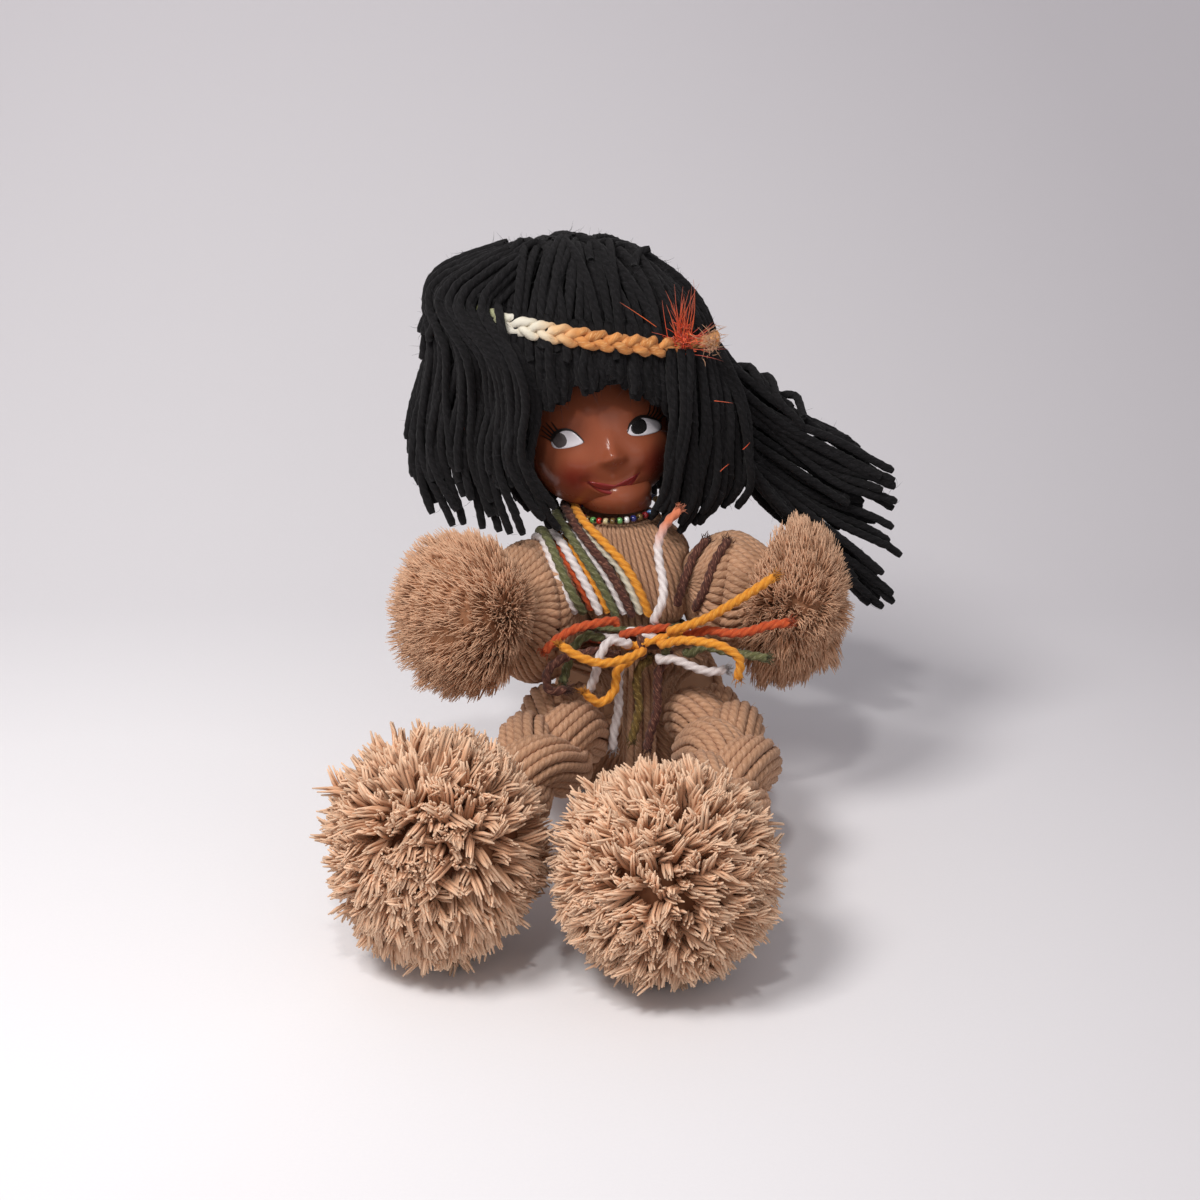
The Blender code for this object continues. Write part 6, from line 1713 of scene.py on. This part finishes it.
# %% The knot
KNOT = Vector((0.004, -0.0359, 0.0905))
knot_parts = [
    ("gold", gold_wool, [(-.012, -.002, -.003), (-.006, -.0062, -.001), (0.0, -.0072, .0015), (.007, -.006, .003), (.014, -.001, .003)]),
    ("white", white_wool, [(-.010, -.001, .004), (-.005, -.005, .0045), (0.001, -.0062, .0030), (.006, -.005, .0005), (.010, -.001, -.003)]),
    ("rust", rust_wool, [(-.013, 0.0, .001), (-.008, -.0045, .0045), (-.002, -.0060, .0062), (.004, -.0045, .0065), (.010, 0.0, .005)]),
    ("brown", brown_wool, [(-.004, -.002, .0065), (-.004, -.0062, .0035), (-.0035, -.0074, -.001), (-.003, -.0055, -.0045), (-.003, -.001, -.007)]),
    ("green", green_wool, [(.009, -.001, .0062), (.0085, -.0055, .0025), (.0075, -.0064, -.001), (.007, -.004, -.0055), (.007, 0.0, -.007)]),
]
for number, (word, material, points) in enumerate(knot_parts):
    piece = lay_yarns(f"knot_{word}", [[KNOT + Vector(p) for p in points]], BOW, material, gap=0.0011, seed=70 + number)
    ride_as(piece, "torso", f"{word}_yarn", "bow_knot")
knot_heart = ball("knot_heart", KNOT, (0.0125, 0.0045, 0.0055), brown_wool, 24, 16)
ride_as(knot_heart, "torso", "brown_yarn")
print("yarns in the knot:", len(knot_parts))

# %% [markdown]
# ## Floor, backdrop and light
# The doll sits on seamless pale paper that curves up behind it. A large soft lamp hangs to the left of and above
# the camera, and the pale room fills the rest, so the shadow falls softly to the right. The paper's colour is also
# darkened away from a spot in front of the doll and to its left: painted shade.

# %% The paper
def paper_material():
    material = bpy.data.materials.new("pale paper")
    material.use_nodes = True
    tree = material.node_tree
    surface = tree.nodes["Principled BSDF"]
    places = node(tree, "ShaderNodeTexCoord").outputs["Object"]
    grain = node(tree, "ShaderNodeTexNoise", {"Vector": places, "Scale": 700.0, "Detail": 3.0}).outputs[0]
    paper_tone = mix(tree, grain, (0.83, 0.82, 0.84, 1), (0.86, 0.85, 0.87, 1))
    # Painted shade: the paper darkens with distance from a spot in front of the doll and to its left.
    spot = node(tree, "ShaderNodeVectorMath", {0: places, 1: (-0.25, -0.10, 0.0)}, operation="SUBTRACT").outputs[0]
    far = node(tree, "ShaderNodeVectorMath", {0: spot}, operation="LENGTH").outputs["Value"]
    shade = node(tree, "ShaderNodeMapRange", {"Value": far, "From Min": 0.15, "From Max": 0.85, "To Max": 1.0}).outputs[0]
    tree.links.new(mix(tree, shade, paper_tone, (0.56, 0.54, 0.57, 1)), surface.inputs["Base Color"])
    surface.inputs["Roughness"].default_value = 0.9
    surface.inputs["Specular IOR Level"].default_value = 0.1
    return material


deselect()
bpy.ops.mesh.primitive_plane_add(size=1.0)
paper = bpy.context.object
paper.name = "paper"
profile = [(-1.6, 0.0), (0.22, 0.0)] + [
    (0.22 + 0.30 * math.sin(a), 0.30 - 0.30 * math.cos(a)) for a in np.linspace(0.1, math.pi / 2, 16)] + [(0.52, 1.8)]
shape = bmesh.new()
rows = [[shape.verts.new((x, y, z)) for x in (-2.0, 2.0)] for y, z in profile]
for low, high in zip(rows, rows[1:]):
    shape.faces.new((low[0], low[1], high[1], high[0]))
shape.to_mesh(paper.data)
shape.free()
paper.data.shade_smooth()
paper.data.materials.append(paper_material())
print("paper rows:", len(profile))

# %% The lamps
def lamp(name, place, target, size, power, colour=(1, 1, 1)):
    bpy.ops.object.light_add(type="AREA", location=place)
    made = bpy.context.object
    made.name = name
    made.data.shape = "RECTANGLE"
    made.data.size, made.data.size_y = size
    made.data.energy = power
    made.data.color = colour
    made.rotation_euler = (Vector(target) - Vector(place)).to_track_quat("-Z", "Y").to_euler()
    return made


lamp("soft key", (-0.55, -0.62, 1.12), (0, -0.05, 0.1), (0.42, 0.34), 11.0, (1.0, 0.975, 0.95))
lamp("high front", (-0.12, -0.80, 1.15), (0, -0.05, 0.15), (0.10, 0.08), 3.4, (1.0, 0.98, 0.96))
lamp("front fill", (0.5, -1.2, 0.5), (0, 0, 0.1), (0.8, 0.6), 1.2, (1.0, 0.98, 0.97))
world = bpy.data.worlds.new("pale room")
world.use_nodes = True
world.node_tree.nodes["Background"].inputs["Color"].default_value = (0.90, 0.88, 0.90, 1)
world.node_tree.nodes["Background"].inputs["Strength"].default_value = 0.41
bpy.context.scene.world = world
bpy.context.scene.view_settings.view_transform = "Standard"
print("lamps:", 3)

# %% [markdown]
# ## Closing
# The outlines that swept the yarns are removed, and the pieces and their triangles are counted.

# %% Finish
for helper in [o for o in bpy.data.objects if o.name.endswith("_ply")]:
    bpy.data.objects.remove(helper)
deselect()
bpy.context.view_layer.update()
pieces = {o.name: sum(len(p.vertices) - 2 for p in o.data.polygons) for o in bpy.data.objects if o.type == "MESH"}
print("pieces:", len(pieces), "triangles:", sum(pieces.values()), "most in one:", max(pieces.values()))
